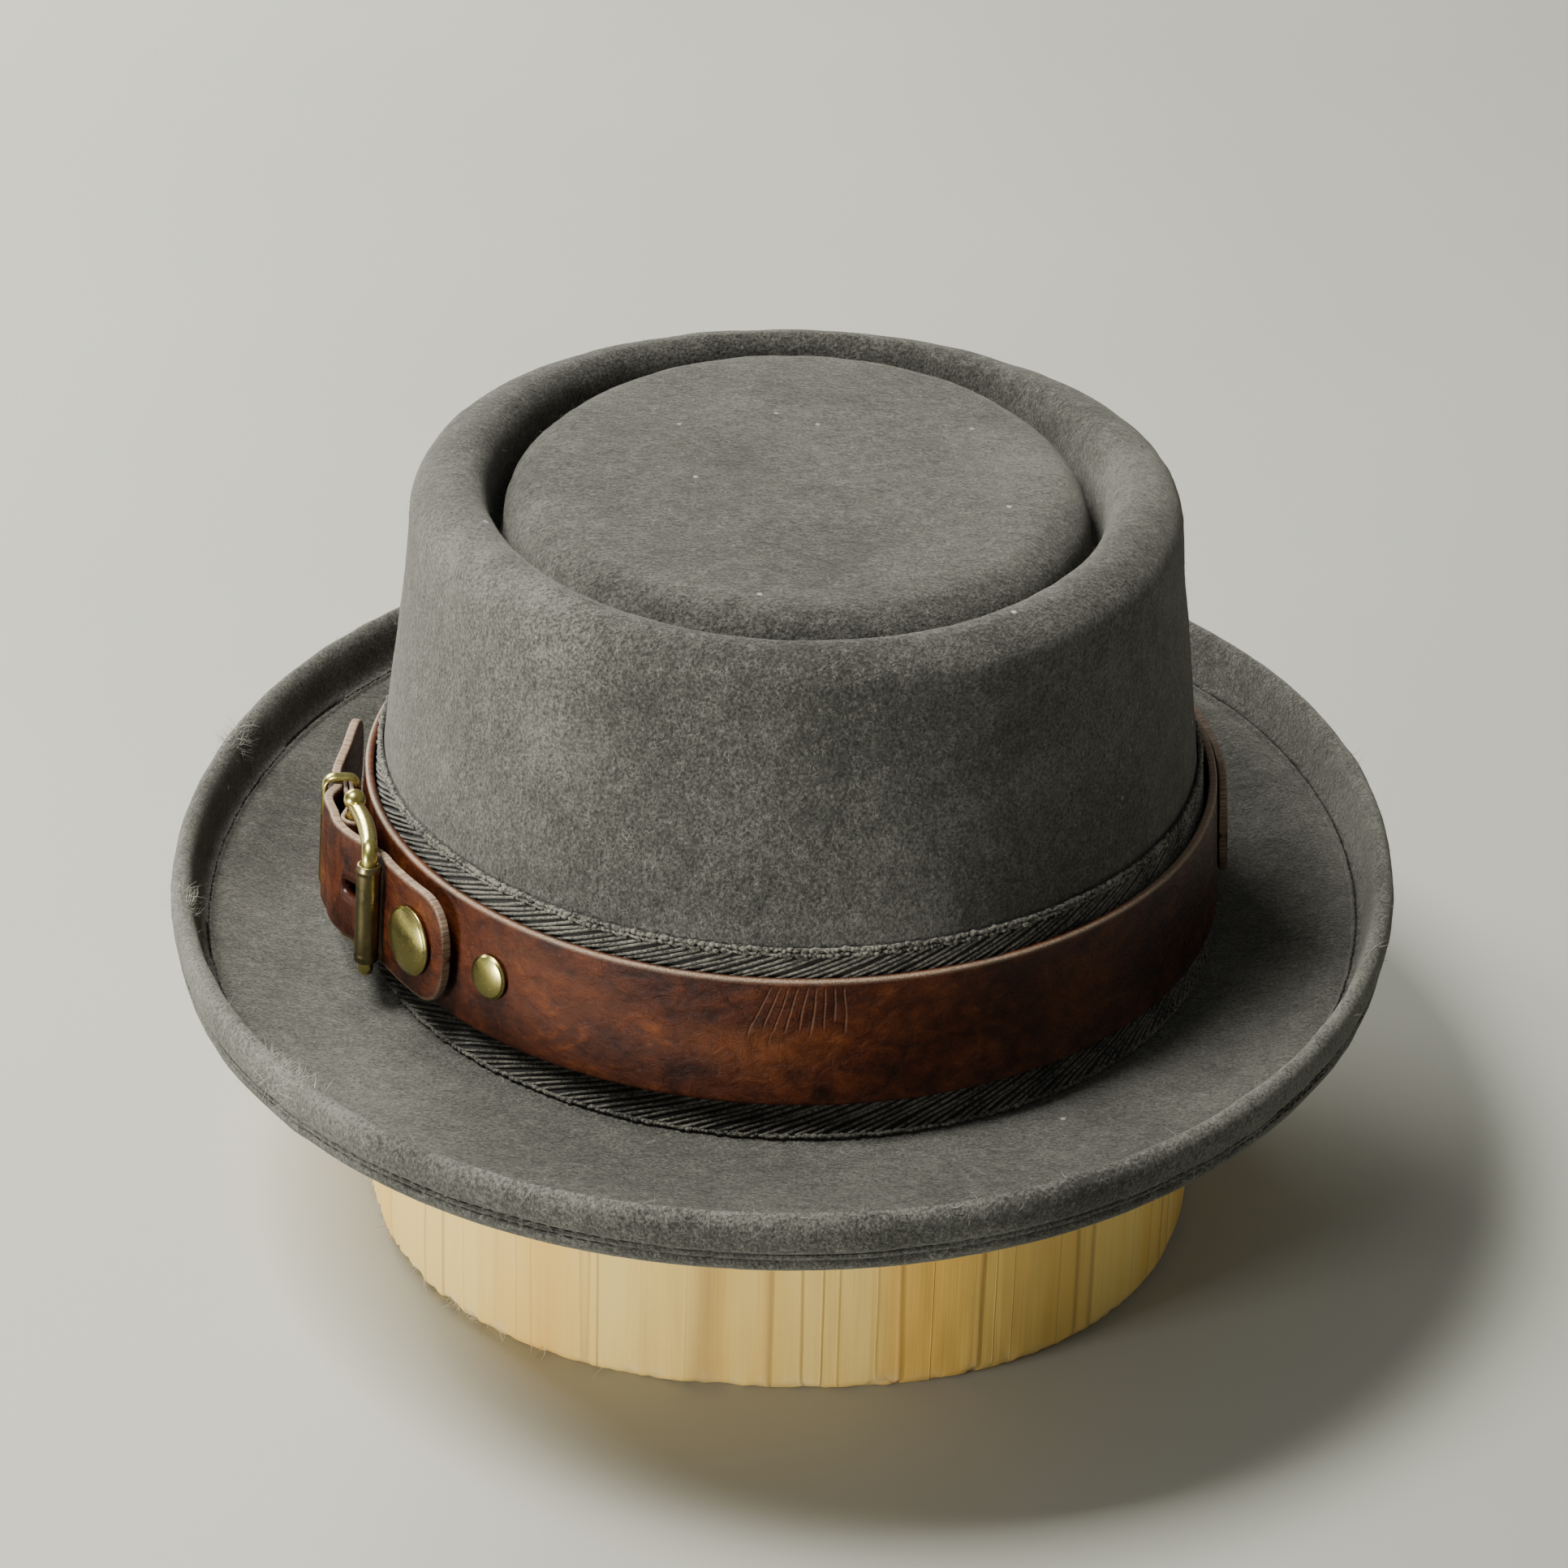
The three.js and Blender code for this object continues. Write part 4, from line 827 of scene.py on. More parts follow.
def fibreTree():  # scatters bent tapering fibres over a surface
    tree, given = newTree("scatterFibres", {
        "Density": ("Float", 50000.0), "Length": ("Float", 0.0012), "Width": ("Float", 0.00004),
        "Lean": ("Float", 0.9), "Seed": ("Int", 5), "Layer": ("String", "nap"), "Material": ("Material", None)})
    layer = made(tree, "GeometryNodeInputNamedAttribute", {"Name": given["Layer"]}, data_type="FLOAT")
    points = addNode(tree, "GeometryNodeDistributePointsOnFaces", {
        "Mesh": given["Geometry"], "Density": times(layer, given["Density"]), "Seed": given["Seed"]},
        distribute_method="RANDOM")
    bend = made(tree, "GeometryNodeCurveQuadraticBezier", {
        "Resolution": 2, "Start": (0, 0, 0), "Middle": (0.1, 0, 0.6), "End": (0.6, 0.1, 1)})
    radius = plus(times(addNode(tree, "GeometryNodeSplineParameter").outputs["Factor"], -0.8), 1.0)
    tapered = made(tree, "GeometryNodeSetCurveRadius", {"Curve": bend, "Radius": radius})
    ratio = combine("DIVIDE", given["Width"], given["Length"])
    profile = made(tree, "GeometryNodeCurvePrimitiveCircle", {"Resolution": 3, "Radius": ratio})
    fibre = addNode(tree, "GeometryNodeCurveToMesh", {
        "Curve": tapered, "Profile Curve": profile, "Fill Caps": True})
    if "Scale" in fibre.inputs:
        tree.links.new(radius, fibre.inputs["Scale"])
    upright = made(tree, "FunctionNodeAlignRotationToVector", {"Vector": points.outputs["Normal"]}, axis="Z")
    lean = randomValue(tree, given, (-1, -1, -3.14), (1, 1, 3.14), True)
    amount = made(tree, "ShaderNodeCombineXYZ", {0: given["Lean"], 1: given["Lean"], 2: 1.0})
    tilt = combineVectors("MULTIPLY", lean, amount)
    turned = made(tree, "FunctionNodeRotateRotation", {"Rotation": upright, "Rotate By": tilt},
                  rotation_space="LOCAL")
    grown = times(randomValue(tree, given, 0.4, 1.3), given["Length"])
    fibres = made(tree, "GeometryNodeInstanceOnPoints", {
        "Points": points.outputs["Points"], "Instance": fibre.outputs[0], "Rotation": turned, "Scale": grown})
    return closeTree(tree, fibres, given)


def pressAboveFloor(mesh, thin=0.0003):  # flattens what would reach below the floor into a thin layer on it
    places = np.empty(len(mesh.vertices) * 3)
    mesh.vertices.foreach_get("co", places)
    heights = places[2::3]
    places[2::3] = np.where(heights < thin, thin * np.exp(np.minimum(heights / thin - 1, 0)), heights)
    mesh.vertices.foreach_set("co", places)
    mesh.update()


def runTree(name, base, tree, values, material, slot, keepBase=False):  # the tree's result as a plain piece
    modifier = base.modifiers.new(tree.name, "NODES")
    modifier.node_group = tree
    values = {**values, "Material": material}
    for item in tree.interface.items_tree:
        if item.item_type == "SOCKET" and item.in_out == "INPUT" and item.name in values:
            modifier[item.identifier] = values[item.name]
    evaluated = base.evaluated_get(bpy.context.evaluated_depsgraph_get())
    mesh = bpy.data.meshes.new_from_object(evaluated)
    mesh.name = name
    pressAboveFloor(mesh)
    base.modifiers.remove(modifier)
    piece = bpy.data.objects.new(name, mesh)
    scene.collection.objects.link(piece)
    if not keepBase:
        bpy.data.objects.remove(base)
    return finishPiece(piece, slot)


def lineBase(name, lines, loops):  # loose edges for a tree to follow, in millimetres
    vertices, edges = [], []
    for line in lines:
        start = len(vertices)
        vertices += (np.asarray(line) * mm).tolist()
        edges += [(start + i, start + i + 1) for i in range(len(line) - 1)]
        if loops:
            edges.append((start + len(line) - 1, start))
    mesh = bpy.data.meshes.new(name)
    mesh.from_pydata(vertices, edges, [])
    base = bpy.data.objects.new(name, mesh)
    scene.collection.objects.link(base)
    return base


followCords = cordTree()
repeatStitches = stitchTree()
scatterFibres = fibreTree()

feltTrim = {
    "flapStitches": {"Count": 420, "Length": 0.0019, "Width": 0.00042, "Jitter": 0.00012, "Seed": 11},
    "grooveStitches": {"Count": 330, "Length": 0.0022, "Width": 0.00034, "Jitter": 0.0001, "Seed": 12},
    "nap": {"Density": 110000.0, "Length": 0.0009, "Width": 0.00003, "Lean": 1.1, "Seed": 21, "Layer": "nap"},
    "frays": {"Density": 2600000.0, "Length": 0.0026, "Width": 0.00005, "Lean": 0.8, "Seed": 22, "Layer": "fray"},
}
runTree("flap_stitches", lineBase("flapLine", [flapLine], True), repeatStitches,
        feltTrim["flapStitches"], darkThread, "twill")
runTree("rim_stitches", lineBase("grooveLines", grooveLines, True), repeatStitches,
        feltTrim["grooveStitches"], darkThread, "twill")
napPiece = runTree("felt_nap", feltPiece, scatterFibres, feltTrim["nap"], feltFibre, "felt", True)
frayPiece = runTree("rim_frays", feltPiece, scatterFibres, feltTrim["frays"], wornFibre, "felt", True)
print("felt trim made, nap faces:", len(napPiece.data.polygons), "fray faces:", len(frayPiece.data.polygons))


# Twill ribbon: ground, slanting cords and a nubby selvedge
ribbon = {
    "around": 360, "groundThickness": 0.45, "cordCount": 190, "cordLean": 20.0, "cordStep": 1.3,
    "footDrop": 1.5, "footFlare": 1.3,
    "cords": {"Cord radius": 0.00033, "Sides": 5, "Fuzz": 0.00024, "Fuzz scale": 1500.0},
    "selvedge": (860, 0.00095, 0.0002, 0.35, 31),  # beads, width, jitter, size spread, seed
    "innerSelvedge": (820, 0.0009, 0.0002, 0.35, 33), "hem": (800, 0.0009, 0.00015, 0.3, 32), "beadLength": 0.0012,
}


def crownPlace(angle, out, height):
    halfWidth = wallAt(height) + out
    return ovalPlace(halfWidth, halfWidth + ovalExtraAt(height), angle, standHeight + height)


def buildRibbon():
    low, high = footHeight, footHeight + band["ribbonHeight"]
    angles = np.linspace(0, 2 * np.pi, ribbon["around"], endpoint=False)
    heights = np.concatenate([low + np.array([-ribbon["footDrop"], -0.6, 0.4]), np.linspace(low + 1.5, high, 10)])

    def flare(height):  # the ribbon turns out where it meets the brim
        return ribbon["footFlare"] * np.clip((low + 1.5 - height) / (ribbon["footDrop"] + 1.5), 0, 1) ** 2
    section = [(clearance + flare(h), h) for h in heights]
    section += [(clearance + flare(h) + ribbon["groundThickness"], h) for h in heights[::-1]]
    rings = np.stack([crownPlace(angles, out, h) for out, h in section])
    # the ground's near-black colour is partly painted shade in the gaps between the cords
    ground = ringPiece("twill_ribbon_ground", rings, ribbonGroundPaintedShade, loops=True)
    finishPiece(ground, "twill", "twill_ribbon")
    run = band["ribbonHeight"] / math.tan(math.radians(ribbon["cordLean"]))
    out = clearance + ribbon["groundThickness"] + ribbon["cords"]["Cord radius"] / mm * 0.35
    shares = np.linspace(0, 1, int(run / ribbon["cordStep"]))
    cords = []
    for k in range(ribbon["cordCount"]):
        start = -halfLoop + 2 * halfLoop * k / ribbon["cordCount"]
        along = (start - run * shares + halfLoop) % (2 * halfLoop) - halfLoop
        height = low - ribbon["footDrop"] + 0.4 + (band["ribbonHeight"] + ribbon["footDrop"] - 1.9) * shares
        waves = 0.16 * np.sin(shares * 9 + k * 1.7) + 0.1 * np.sin(shares * 23 + k * 2.9)
        cords.append(crownPlace(angleAt(along), out + flare(height), height + waves))
    runTree("twill_ribbon_cords", lineBase("cordLines", cords, False), followCords,
            ribbon["cords"], ribbonCord, "twill")
    top, second = (crownPlace(angles, clearance + 0.6, high - down) for down in (0.2, 1.1))
    foot = low - ribbon["footDrop"] + 0.3
    bottom = crownPlace(angles, clearance + 0.5 + flare(foot), foot)
    for name, line, kind, material in (
            ("twill_ribbon_selvedge", top, "selvedge", ribbonEdge),
            ("twill_ribbon_selvedge_inner", second, "innerSelvedge", ribbonEdge),
            ("twill_ribbon_hem", bottom, "hem", ribbonCord)):
        count, width, jitter, spread, seed = ribbon[kind]
        runTree(name, lineBase("edgeLine", [line], True), repeatStitches, {
            "Count": count, "Length": ribbon["beadLength"], "Width": width, "Jitter": jitter,
            "Size spread": spread, "Seed": seed}, material, "twill")


buildRibbon()
print("ribbon made")


# Straps and buckle: sizes, distances along the band and heights above it
buckle = {
    "heelBarAlong": 119.2, "length": 20.6, "wireRadius": 1.6, "corner": 2.6, "knobRadius": 2.3,
    "rollerWall": 0.6, "tongueWidth": 2.4, "tongueThickness": 1.9, "keeperGap": 14.4, "keeperWidth": 3.2,
    "keeperWall": 0.9, "keeperCorner": 1.6, "slotHeight": 3.6, "slotLength": 12.0,
}
straps = {
    "billetThickness": 2.0, "billetHeight": 23.4, "billetTipRun": 49.5, "billetEndMargin": 3.4, "billetLift": 1.4,
    "topLift": 1.2, "topLiftShape": (0.6, 1.0, 0.9, 0.6), "billetTailLift": 2.8, "bow": 1.4,
    "chapeThickness": 1.1, "chapeHeight": 22.0, "chapeRun": 19.0, "tabAlong": -171.0, "tabHalfRun": 28.0,
    "tabThickness": 1.8, "rise": [(0.41, 0.4), (0.72, 0.88)],
}
rivets = {
    "large": (7.3, 2.2, 1.8), "small": (4.7, 1.5, 1.8), "chape": (2.2, 0.5, 1.1),  # radius, dome, shank
    "edge": 0.7, "gap": 3.6, "spacing": 20.8, "chapeGap": 8.0,
}
wire = buckle["wireRadius"]
heelAlong = buckle["heelBarAlong"]
chapeInner = clearance + buckle["keeperWall"] + clearance
heelOut = clearance + straps["chapeThickness"] + clearance + wire
chapeBend = wire + clearance
billetOverBar = heelOut + chapeBend + straps["chapeThickness"] + clearance
chapeStackOut = chapeInner + 2 * straps["chapeThickness"] + clearance
billetUnderKeeper = chapeStackOut + clearance
rollerRadius = wire + clearance + buckle["rollerWall"]
billetLow = clearance + straps["billetLift"]
rollerOut = billetLow + straps["billetThickness"] + clearance + rollerRadius
rollerAlong = heelAlong - buckle["length"]
largeRivetAlong = rollerAlong - rollerRadius - rivets["gap"] - rivets["large"][0]
smallRivetAlong = largeRivetAlong - rivets["spacing"]
billetStart = largeRivetAlong - rivets["large"][0] - straps["billetEndMargin"]
billetEnd = heelAlong + straps["billetTipRun"]
keeperAlong = heelAlong + buckle["keeperGap"]
chapeEnd = heelAlong + straps["chapeRun"]
chapeRivetAlong = heelAlong + rivets["chapeGap"]
billetRise = billetOverBar - billetLow
riseRows = [(rollerAlong + buckle["length"] * a, billetLow + billetRise * r) for a, r in straps["rise"]]
holeAlong, holeOut = riseRows[0][0], riseRows[0][1] + straps["billetThickness"] / 2


def strapPlace(along, out, up):  # the straps at the buckle stand off more at their top edge
    share = np.interp(along, (billetStart, rollerAlong, heelAlong, billetEnd), straps["topLiftShape"])
    lift = straps["topLift"] * share * np.maximum(0, np.asarray(up, float) / straps["billetHeight"] + 0.5)
    return bandPlace(along, out + lift, up)


# Leather pieces
def roundedSection(halfHeight, thickness, radius, steps=5):  # up and out around a strap's section, with extra points across its wide faces
    radius = min(radius, halfHeight * 0.95, thickness * 0.49)
    flatUp = halfHeight - radius
    points = []
    for centreUp, centreOut, start in (
            (flatUp, thickness - radius, 0), (-flatUp, thickness - radius, 90),
            (-flatUp, radius, 180), (flatUp, radius, 270)):
        for i in range(steps + 1):
            turn = math.radians(start + 90 * i / steps)
            points.append((centreUp + radius * math.cos(turn), centreOut + radius * math.sin(turn)))
    shares = (0.02, 0.17, 0.33, 0.5, 0.67, 0.83, 0.98)
    faces = []
    for i, point in enumerate(points):
        faces.append(point)
        if i in (steps, 3 * steps + 2):  # fill the two wide faces
            other = points[(i + 1) % len(points)]
            faces += [(point[0] + (other[0] - point[0]) * share, point[1]) for share in shares]
    return np.array(faces)


def edgeShare(section, halfHeight, thickness):
    middle = 1 - np.abs(section[:, 1] / thickness - 0.5) * 2
    nearEdge = smoothStep(halfHeight - 1.1, halfHeight - 0.15, np.abs(section[:, 0]))
    return np.clip(nearEdge * smoothStep(-0.25, 0.35, middle), 0, 1)


def buildBand():
    around = 520
    along = np.linspace(-halfLoop, halfLoop, around, endpoint=False)
    half = band["height"] / 2
    section = roundedSection(half, band["thickness"], band["edgeRadius"])
    rings, edges, places = [], [], []
    raw = edgeShare(section, half, band["thickness"])
    # painted highlight: a thin pale line along the top outer corner, coloured like a burnished edge
    highlightCornerDistance = np.hypot(*(np.array([half, band["thickness"]]) - band["lineInset"] - section).T)
    thin = smoothStep(0.6, 0.2, highlightCornerDistance)
    right = smoothStep(-70, -120, along)
    for (up, out), rawEdge, line in zip(section, raw, thin):
        # the edge layer holds the raw edge on the right and the painted highlight line along the top corner
        edge = np.maximum(rawEdge * right * (up > 0), line * 0.8)
        wave = 0.10 * np.sin(along / 17.0) * np.clip(up / half, 0, 1)
        rings.append(bandPlace(along, out - band["thickness"] + wave, up))
        edges.append(edge)
        places.append(np.stack([along, np.full(around, up), np.zeros(around)], -1))
    piece = ringPiece("leather_band_visual", np.stack(rings), bandLeather,
                      {"edge": np.stack(edges), "place": np.stack(places)}, loops=True)
    return finishPiece(piece, "leather", "leather_band")


def strapPiece(name, placeAt, path, thickness, height, endRadius, material, step=0.8, squareness=2.5, sag=0.0):
    curve = centripetalCurve(path, 40)
    length = lengthsAlong(curve)[-1]
    inner = np.linspace(endRadius, length - endRadius, int((length - 2 * endRadius) / step))
    if endRadius:
        turns = np.linspace(math.radians(3), math.pi / 2, 14)[:-1]
        ends = endRadius * (1 - np.cos(turns))
        distances = np.concatenate([ends, inner, (length - ends)[::-1]])
    else:
        distances = np.linspace(0, length, int(length / step))
    points = pointsAt(curve, distances)
    ahead, behind = (pointsAt(curve, np.clip(distances + step, 0, length)) for step in (0.1, -0.1))
    tangent = unit(ahead - behind)
    near = np.minimum(distances, length - distances)
    inset = np.minimum(near / endRadius, 1) if endRadius else np.ones_like(near)
    halves = (height / 2) * (1 - (1 - inset) ** squareness) ** (1 / squareness)
    rings, edges, places = [], [], []
    for (along, out), (ta, to), half in zip(points, tangent, halves):
        section = roundedSection(half, thickness, 0.55)
        share = edgeShare(section, half, thickness)
        if endRadius and half < height / 2 - 0.01:
            depth = section[:, 1] / thickness
            tip = smoothStep(height / 2 * 0.8, 0, half) * smoothStep(0.0, 0.4, depth) * smoothStep(1.0, 0.75, depth)
            share = np.maximum(share, tip)
        dish = sag * (section[:, 0] / (height / 2)) ** 2
        rings.append(placeAt(along - to * section[:, 1], out + ta * section[:, 1] - dish, section[:, 0]))
        edges.append(share)
        places.append(np.stack([np.full(len(section), along * 1.0), section[:, 0], np.full(len(section), out)], -1))
    return ringPiece(name, np.stack(rings), material, {"edge": np.stack(edges), "place": np.stack(places)})


def billetPath():
    overRivet = chapeStackOut + clearance + rivets["chape"][1] + clearance * 1.5 + straps["bow"]
    return [
        (billetStart, billetLow), (largeRivetAlong, billetLow), (rollerAlong - rollerRadius, billetLow),
        (rollerAlong + rollerRadius, billetLow), *riseRows,
        (heelAlong - wire, billetOverBar), (heelAlong + wire, billetOverBar - clearance / 2),
        (chapeRivetAlong, overRivet), (keeperAlong - buckle["keeperWidth"] / 2, billetUnderKeeper),
        (keeperAlong + buckle["keeperWidth"] / 2, billetUnderKeeper), (chapeEnd + clearance, billetUnderKeeper),
        (chapeEnd + straps["billetTipRun"] / 4, straps["billetTailLift"]), (billetEnd, straps["billetTailLift"]),
    ]


def chapePath():
    lower = chapeInner + straps["chapeThickness"]
    upper = lower + clearance
    turns = np.linspace(-0.5, 0.5, 9) * math.pi
    bend = [(heelAlong - chapeBend * math.cos(t), heelOut + chapeBend * math.sin(t)) for t in turns]
    start = chapeRivetAlong - rivets["chape"][0] - clearance
    return [(chapeEnd, lower), (keeperAlong, lower), (start, lower), *bend,
            (start, upper), (keeperAlong, upper), (chapeEnd, upper)]


def cutSlot(piece, along, out, length, depth, height):  # a slot with soft corners through a strap
    axes, place = axesAt(strapPlace, along, out)
    turns = np.linspace(0, 2 * np.pi, 16, endpoint=False)
    outline = np.stack([length / 2 * np.sign(np.cos(turns)) * np.abs(np.cos(turns)) ** 0.5,
                        np.zeros(16), height / 2 * np.sign(np.sin(turns)) * np.abs(np.sin(turns)) ** 0.5], -1)
    rings = np.stack([(outline + [0, side * depth / 2, 0]) @ axes.T + place for side in (-1, 1)])
    tool = ringPiece("slotTool", rings, darkThread)
    cutter = piece.modifiers.new("slot", "BOOLEAN")
    cutter.operation = "DIFFERENCE"
    cutter.solver = "EXACT"
    cutter.object = tool
    mesh = bpy.data.meshes.new_from_object(piece.evaluated_get(bpy.context.evaluated_depsgraph_get()))
    piece.modifiers.remove(cutter)
    piece.data = mesh
    bpy.data.objects.remove(tool)


buildBand()
strapHeight = straps["billetHeight"]
billet = strapPiece("billet_strap_visual", strapPlace, billetPath(), straps["billetThickness"],
                    strapHeight, strapHeight / 2.6, strapLeather, sag=0.25)
cutSlot(billet, holeAlong, holeOut, buckle["slotLength"] * 0.8, 7, buckle["slotHeight"])
finishPiece(billet, "leather", "billet_strap")
chape = strapPiece("chape_strap_visual", strapPlace, chapePath(), straps["chapeThickness"],
                   straps["chapeHeight"], 0, strapLeather, 0.4)
cutSlot(chape, heelAlong - chapeBend / 2, heelOut, chapeBend * 2 + 4.4, (heelOut + chapeBend) * 2,
        buckle["slotHeight"])
finishPiece(chape, "leather", "chape_strap")
tabPath = [(straps["tabAlong"] + side * straps["tabHalfRun"], clearance) for side in (-1, 0, 1)]
tab = strapPiece("side_tab_visual", bandPlace, tabPath, straps["tabThickness"],
                 strapHeight, strapHeight / 2.2, strapLeather)
finishPiece(tab, "leather", "side_tab")
print("leather made")


# Buckle
def sweptPiece(name, path, acrossA, acrossB, radii, material, loops, sides=16):  # an oval rod along a path
    turns = np.linspace(0, 2 * np.pi, sides, endpoint=False)
    radiusA, radiusB = radii
    ring = (path[:, None, :] + acrossA[:, None, :] * np.cos(turns)[None, :, None] * np.reshape(radiusA, (-1, 1, 1))
            + acrossB[:, None, :] * np.sin(turns)[None, :, None] * np.reshape(radiusB, (-1, 1, 1)))
    return ringPiece(name, ring, material, loops=loops)


def lathePiece(name, profile, axes, place, material, sides=64, loops=False):  # a turned shape about its local y
    turns = np.linspace(0, 2 * np.pi, sides, endpoint=False)
    rings = []
    for radius, height in profile:
        local = np.stack([radius * np.cos(turns), np.full(sides, height), radius * np.sin(turns)], -1)
        rings.append(local @ axes.T + place)
    return ringPiece(name, np.stack(rings), material, loops=loops)


def cornerLoop(corners, radius, turns):  # places and outward ways round a loop with round corners
    angles = np.radians(np.concatenate([start + turns for *_, start in corners]))
    centres = np.repeat([corner[:2] for corner in corners], len(turns), axis=0)
    ways = np.stack([np.cos(angles), np.sin(angles)], -1)
    return centres + radius * ways, ways


def joinPieces(name, pieces):
    vertices, faces = [], []
    for piece in pieces:
        start = len(vertices)
        vertices += [tuple(v.co / mm) for v in piece.data.vertices]
        faces += [tuple(start + i for i in face.vertices) for face in piece.data.polygons]
    material = pieces[0].data.materials[0]
    for piece in pieces:
        bpy.data.objects.remove(piece)
    return makePiece(name, vertices, faces, material)


def buckleAxes():  # x from the heel bar to the roller, y out, z up
    heel, front = strapPlace(heelAlong, heelOut, 0), strapPlace(rollerAlong, rollerOut, 0)
    z = strapPlace(heelAlong, heelOut, 1) - heel + strapPlace(rollerAlong, rollerOut, 1) - front
    x = front - heel
    length = np.linalg.norm(x)
    x = x / length
    y = unit(np.cross(z, x))
    return np.column_stack([x, y, np.cross(x, y)]), heel, length


def buildBuckle():
    axes, heel, length = buckleAxes()
    side = straps["billetHeight"] / 2 + clearance * 2 + wire
    corner = buckle["corner"]
    corners = [(length - corner, side - corner, 0), (corner, side - corner, 90),
               (corner, corner - side, 180), (length - corner, corner - side, 270)]
    path, outward = (np.insert(np.vstack([flat, flat[:1]]), 1, 0, axis=1)
                     for flat in cornerLoop(corners, corner, np.linspace(0, 90, 10)))
    stops = lengthsAlong(path)
    distances = np.linspace(0, stops[-1], 180, endpoint=False)
    path = pointsAt(path, distances)
    outward = unit(pointsAt(outward, np.interp(distances, stops, lengthsAlong(outward))))
    onSide = smoothStep(side - 3.5, side - 0.5, np.abs(path[:, 2]))
    belly = np.sin(np.clip(path[:, 0] / length, 0, 1) * np.pi)
    path[:, 1] += 0.9 * onSide * belly
    radius = wire * (1 + 0.12 * onSide * belly)
    out = np.tile([0.0, 1.0, 0.0], (len(path), 1))
    rod = sweptPiece("rod", path @ axes.T + heel, outward @ axes.T, out @ axes.T, (radius, radius),
                     antiqueBrass, True)
    upright = np.column_stack([axes[:, 0], axes[:, 2], -axes[:, 1]])
    turns = np.linspace(0.08, np.pi - 0.08, 14)
    profile = [(buckle["knobRadius"] * math.sin(t), -buckle["knobRadius"] * math.cos(t)) for t in turns]
    knobs = [lathePiece("knob", profile, upright, axes @ np.array([0, 0, end * (side + wire * 0.6)]) + heel,
                        antiqueBrass, 24) for end in (1, -1)]
    finishPiece(joinPieces("buckle_frame_visual", [rod, *knobs]), "brass", "buckle_frame")

    half = side - corner - clearance
    rim, bore = rollerRadius, wire + clearance * 0.5
    ends = [(-0.2, 0), (0, 0.25), (0, 1.0), (0.16, 1.3), (0, 1.6), (0, 2.2)]  # a soft edge and a bead
    shell = [(bore, -half)] + [(rim + out, inward - half) for out, inward in ends]
    shell += [(rim, h) for h in np.linspace(-half + 3, half - 3, 12)]
    shell += [(rim + out, half - inward) for out, inward in reversed(ends)] + [(bore, half)]
    place = axes @ np.array([length, 0, 0]) + heel
    roller = lathePiece("buckle_roller_visual", shell, upright, place, darkBronze, 40, True)
    finishPiece(roller, "bronze", "buckle_roller")

    def inPlane(along, outHeight):
        local = (strapPlace(along, outHeight, 0) - heel) @ axes
        return local[0], local[1]
    eye = chapeBend + straps["chapeThickness"] / 2
    thick = buckle["tongueThickness"]
    arm = [(eye, 0.0), inPlane(heelAlong - buckle["length"] * 0.27, heelOut * 0.8),
           inPlane(holeAlong + thick, holeOut - thick * 0.3),
           (length - rollerRadius * 1.2, rollerRadius + thick * 0.55),
           (length + buckle["rollerWall"], rollerRadius + clearance + thick / 2)]
    curve = centripetalCurve(arm, 14)
    local = np.stack([curve[:, 0], curve[:, 1], np.zeros(len(curve))], -1)
    tangent = unit(np.gradient(local, axis=0))
    across = np.tile([0.0, 0.0, 1.0], (len(local), 1))
    normal = np.cross(across, tangent)
    shares = np.linspace(0, 1, len(local))
    fade = np.sqrt(np.clip(1 - np.clip((shares - 0.93) / 0.07, 0, 0.97) ** 2, 0.02, 1))
    armPiece = sweptPiece("arm", local @ axes.T + heel, across @ axes.T, normal @ axes.T,
                          (buckle["tongueWidth"] / 2 * fade, thick / 2 * fade), antiqueBrass, False)
    circle = np.linspace(0, 2 * np.pi, 32, endpoint=False)
    ringPath = np.stack([eye * np.cos(circle), eye * np.sin(circle), np.zeros(32)], -1)
    ringOut = np.stack([np.cos(circle), np.sin(circle), np.zeros(32)], -1)
    ringUp = np.tile([0.0, 0.0, 1.0], (32, 1))
    eyePiece = sweptPiece("eye", ringPath @ axes.T + heel, ringOut @ axes.T, ringUp @ axes.T,
                          (straps["chapeThickness"] / 2, buckle["tongueWidth"] / 2), antiqueBrass, True, 12)
    finishPiece(joinPieces("buckle_tongue_visual", [armPiece, eyePiece]), "brass", "buckle_tongue")


def buildKeeper():
    axes, place = axesAt(strapPlace, keeperAlong, chapeStackOut)
    wall = buckle["keeperWall"]
    innerHalf = straps["billetHeight"] / 2 + clearance * 2
    low = clearance + wall / 2 - chapeStackOut
    high = billetUnderKeeper + straps["billetThickness"] + clearance * 3 + wall / 2 - chapeStackOut
    half, corner = innerHalf + wall / 2, buckle["keeperCorner"] * 1.3
    corners = [(high - corner, half - corner, 0), (high - corner, corner - half, 270),
               (low + corner, corner - half, 180), (low + corner, half - corner, 90)]
    path = np.insert(cornerLoop(corners, corner, np.linspace(90, 0, 8))[0], 0, 0, axis=1)
    path = np.vstack([path, path[:1]])
    path = pointsAt(path, np.linspace(0, lengthsAlong(path)[-1], 140, endpoint=False))
    ways = unit(np.roll(path, -1, axis=0) - np.roll(path, 1, axis=0))
    wide = np.tile([1.0, 0.0, 0.0], (len(path), 1))
    normal = np.cross(ways, wide)
    piece = sweptPiece("keeper_loop_visual", path @ axes.T + place, wide @ axes.T, normal @ axes.T,
                       (buckle["keeperWidth"] / 2, wall * 0.75), antiqueBrass, True, 18)
    finishPiece(piece, "brass", "keeper_loop")


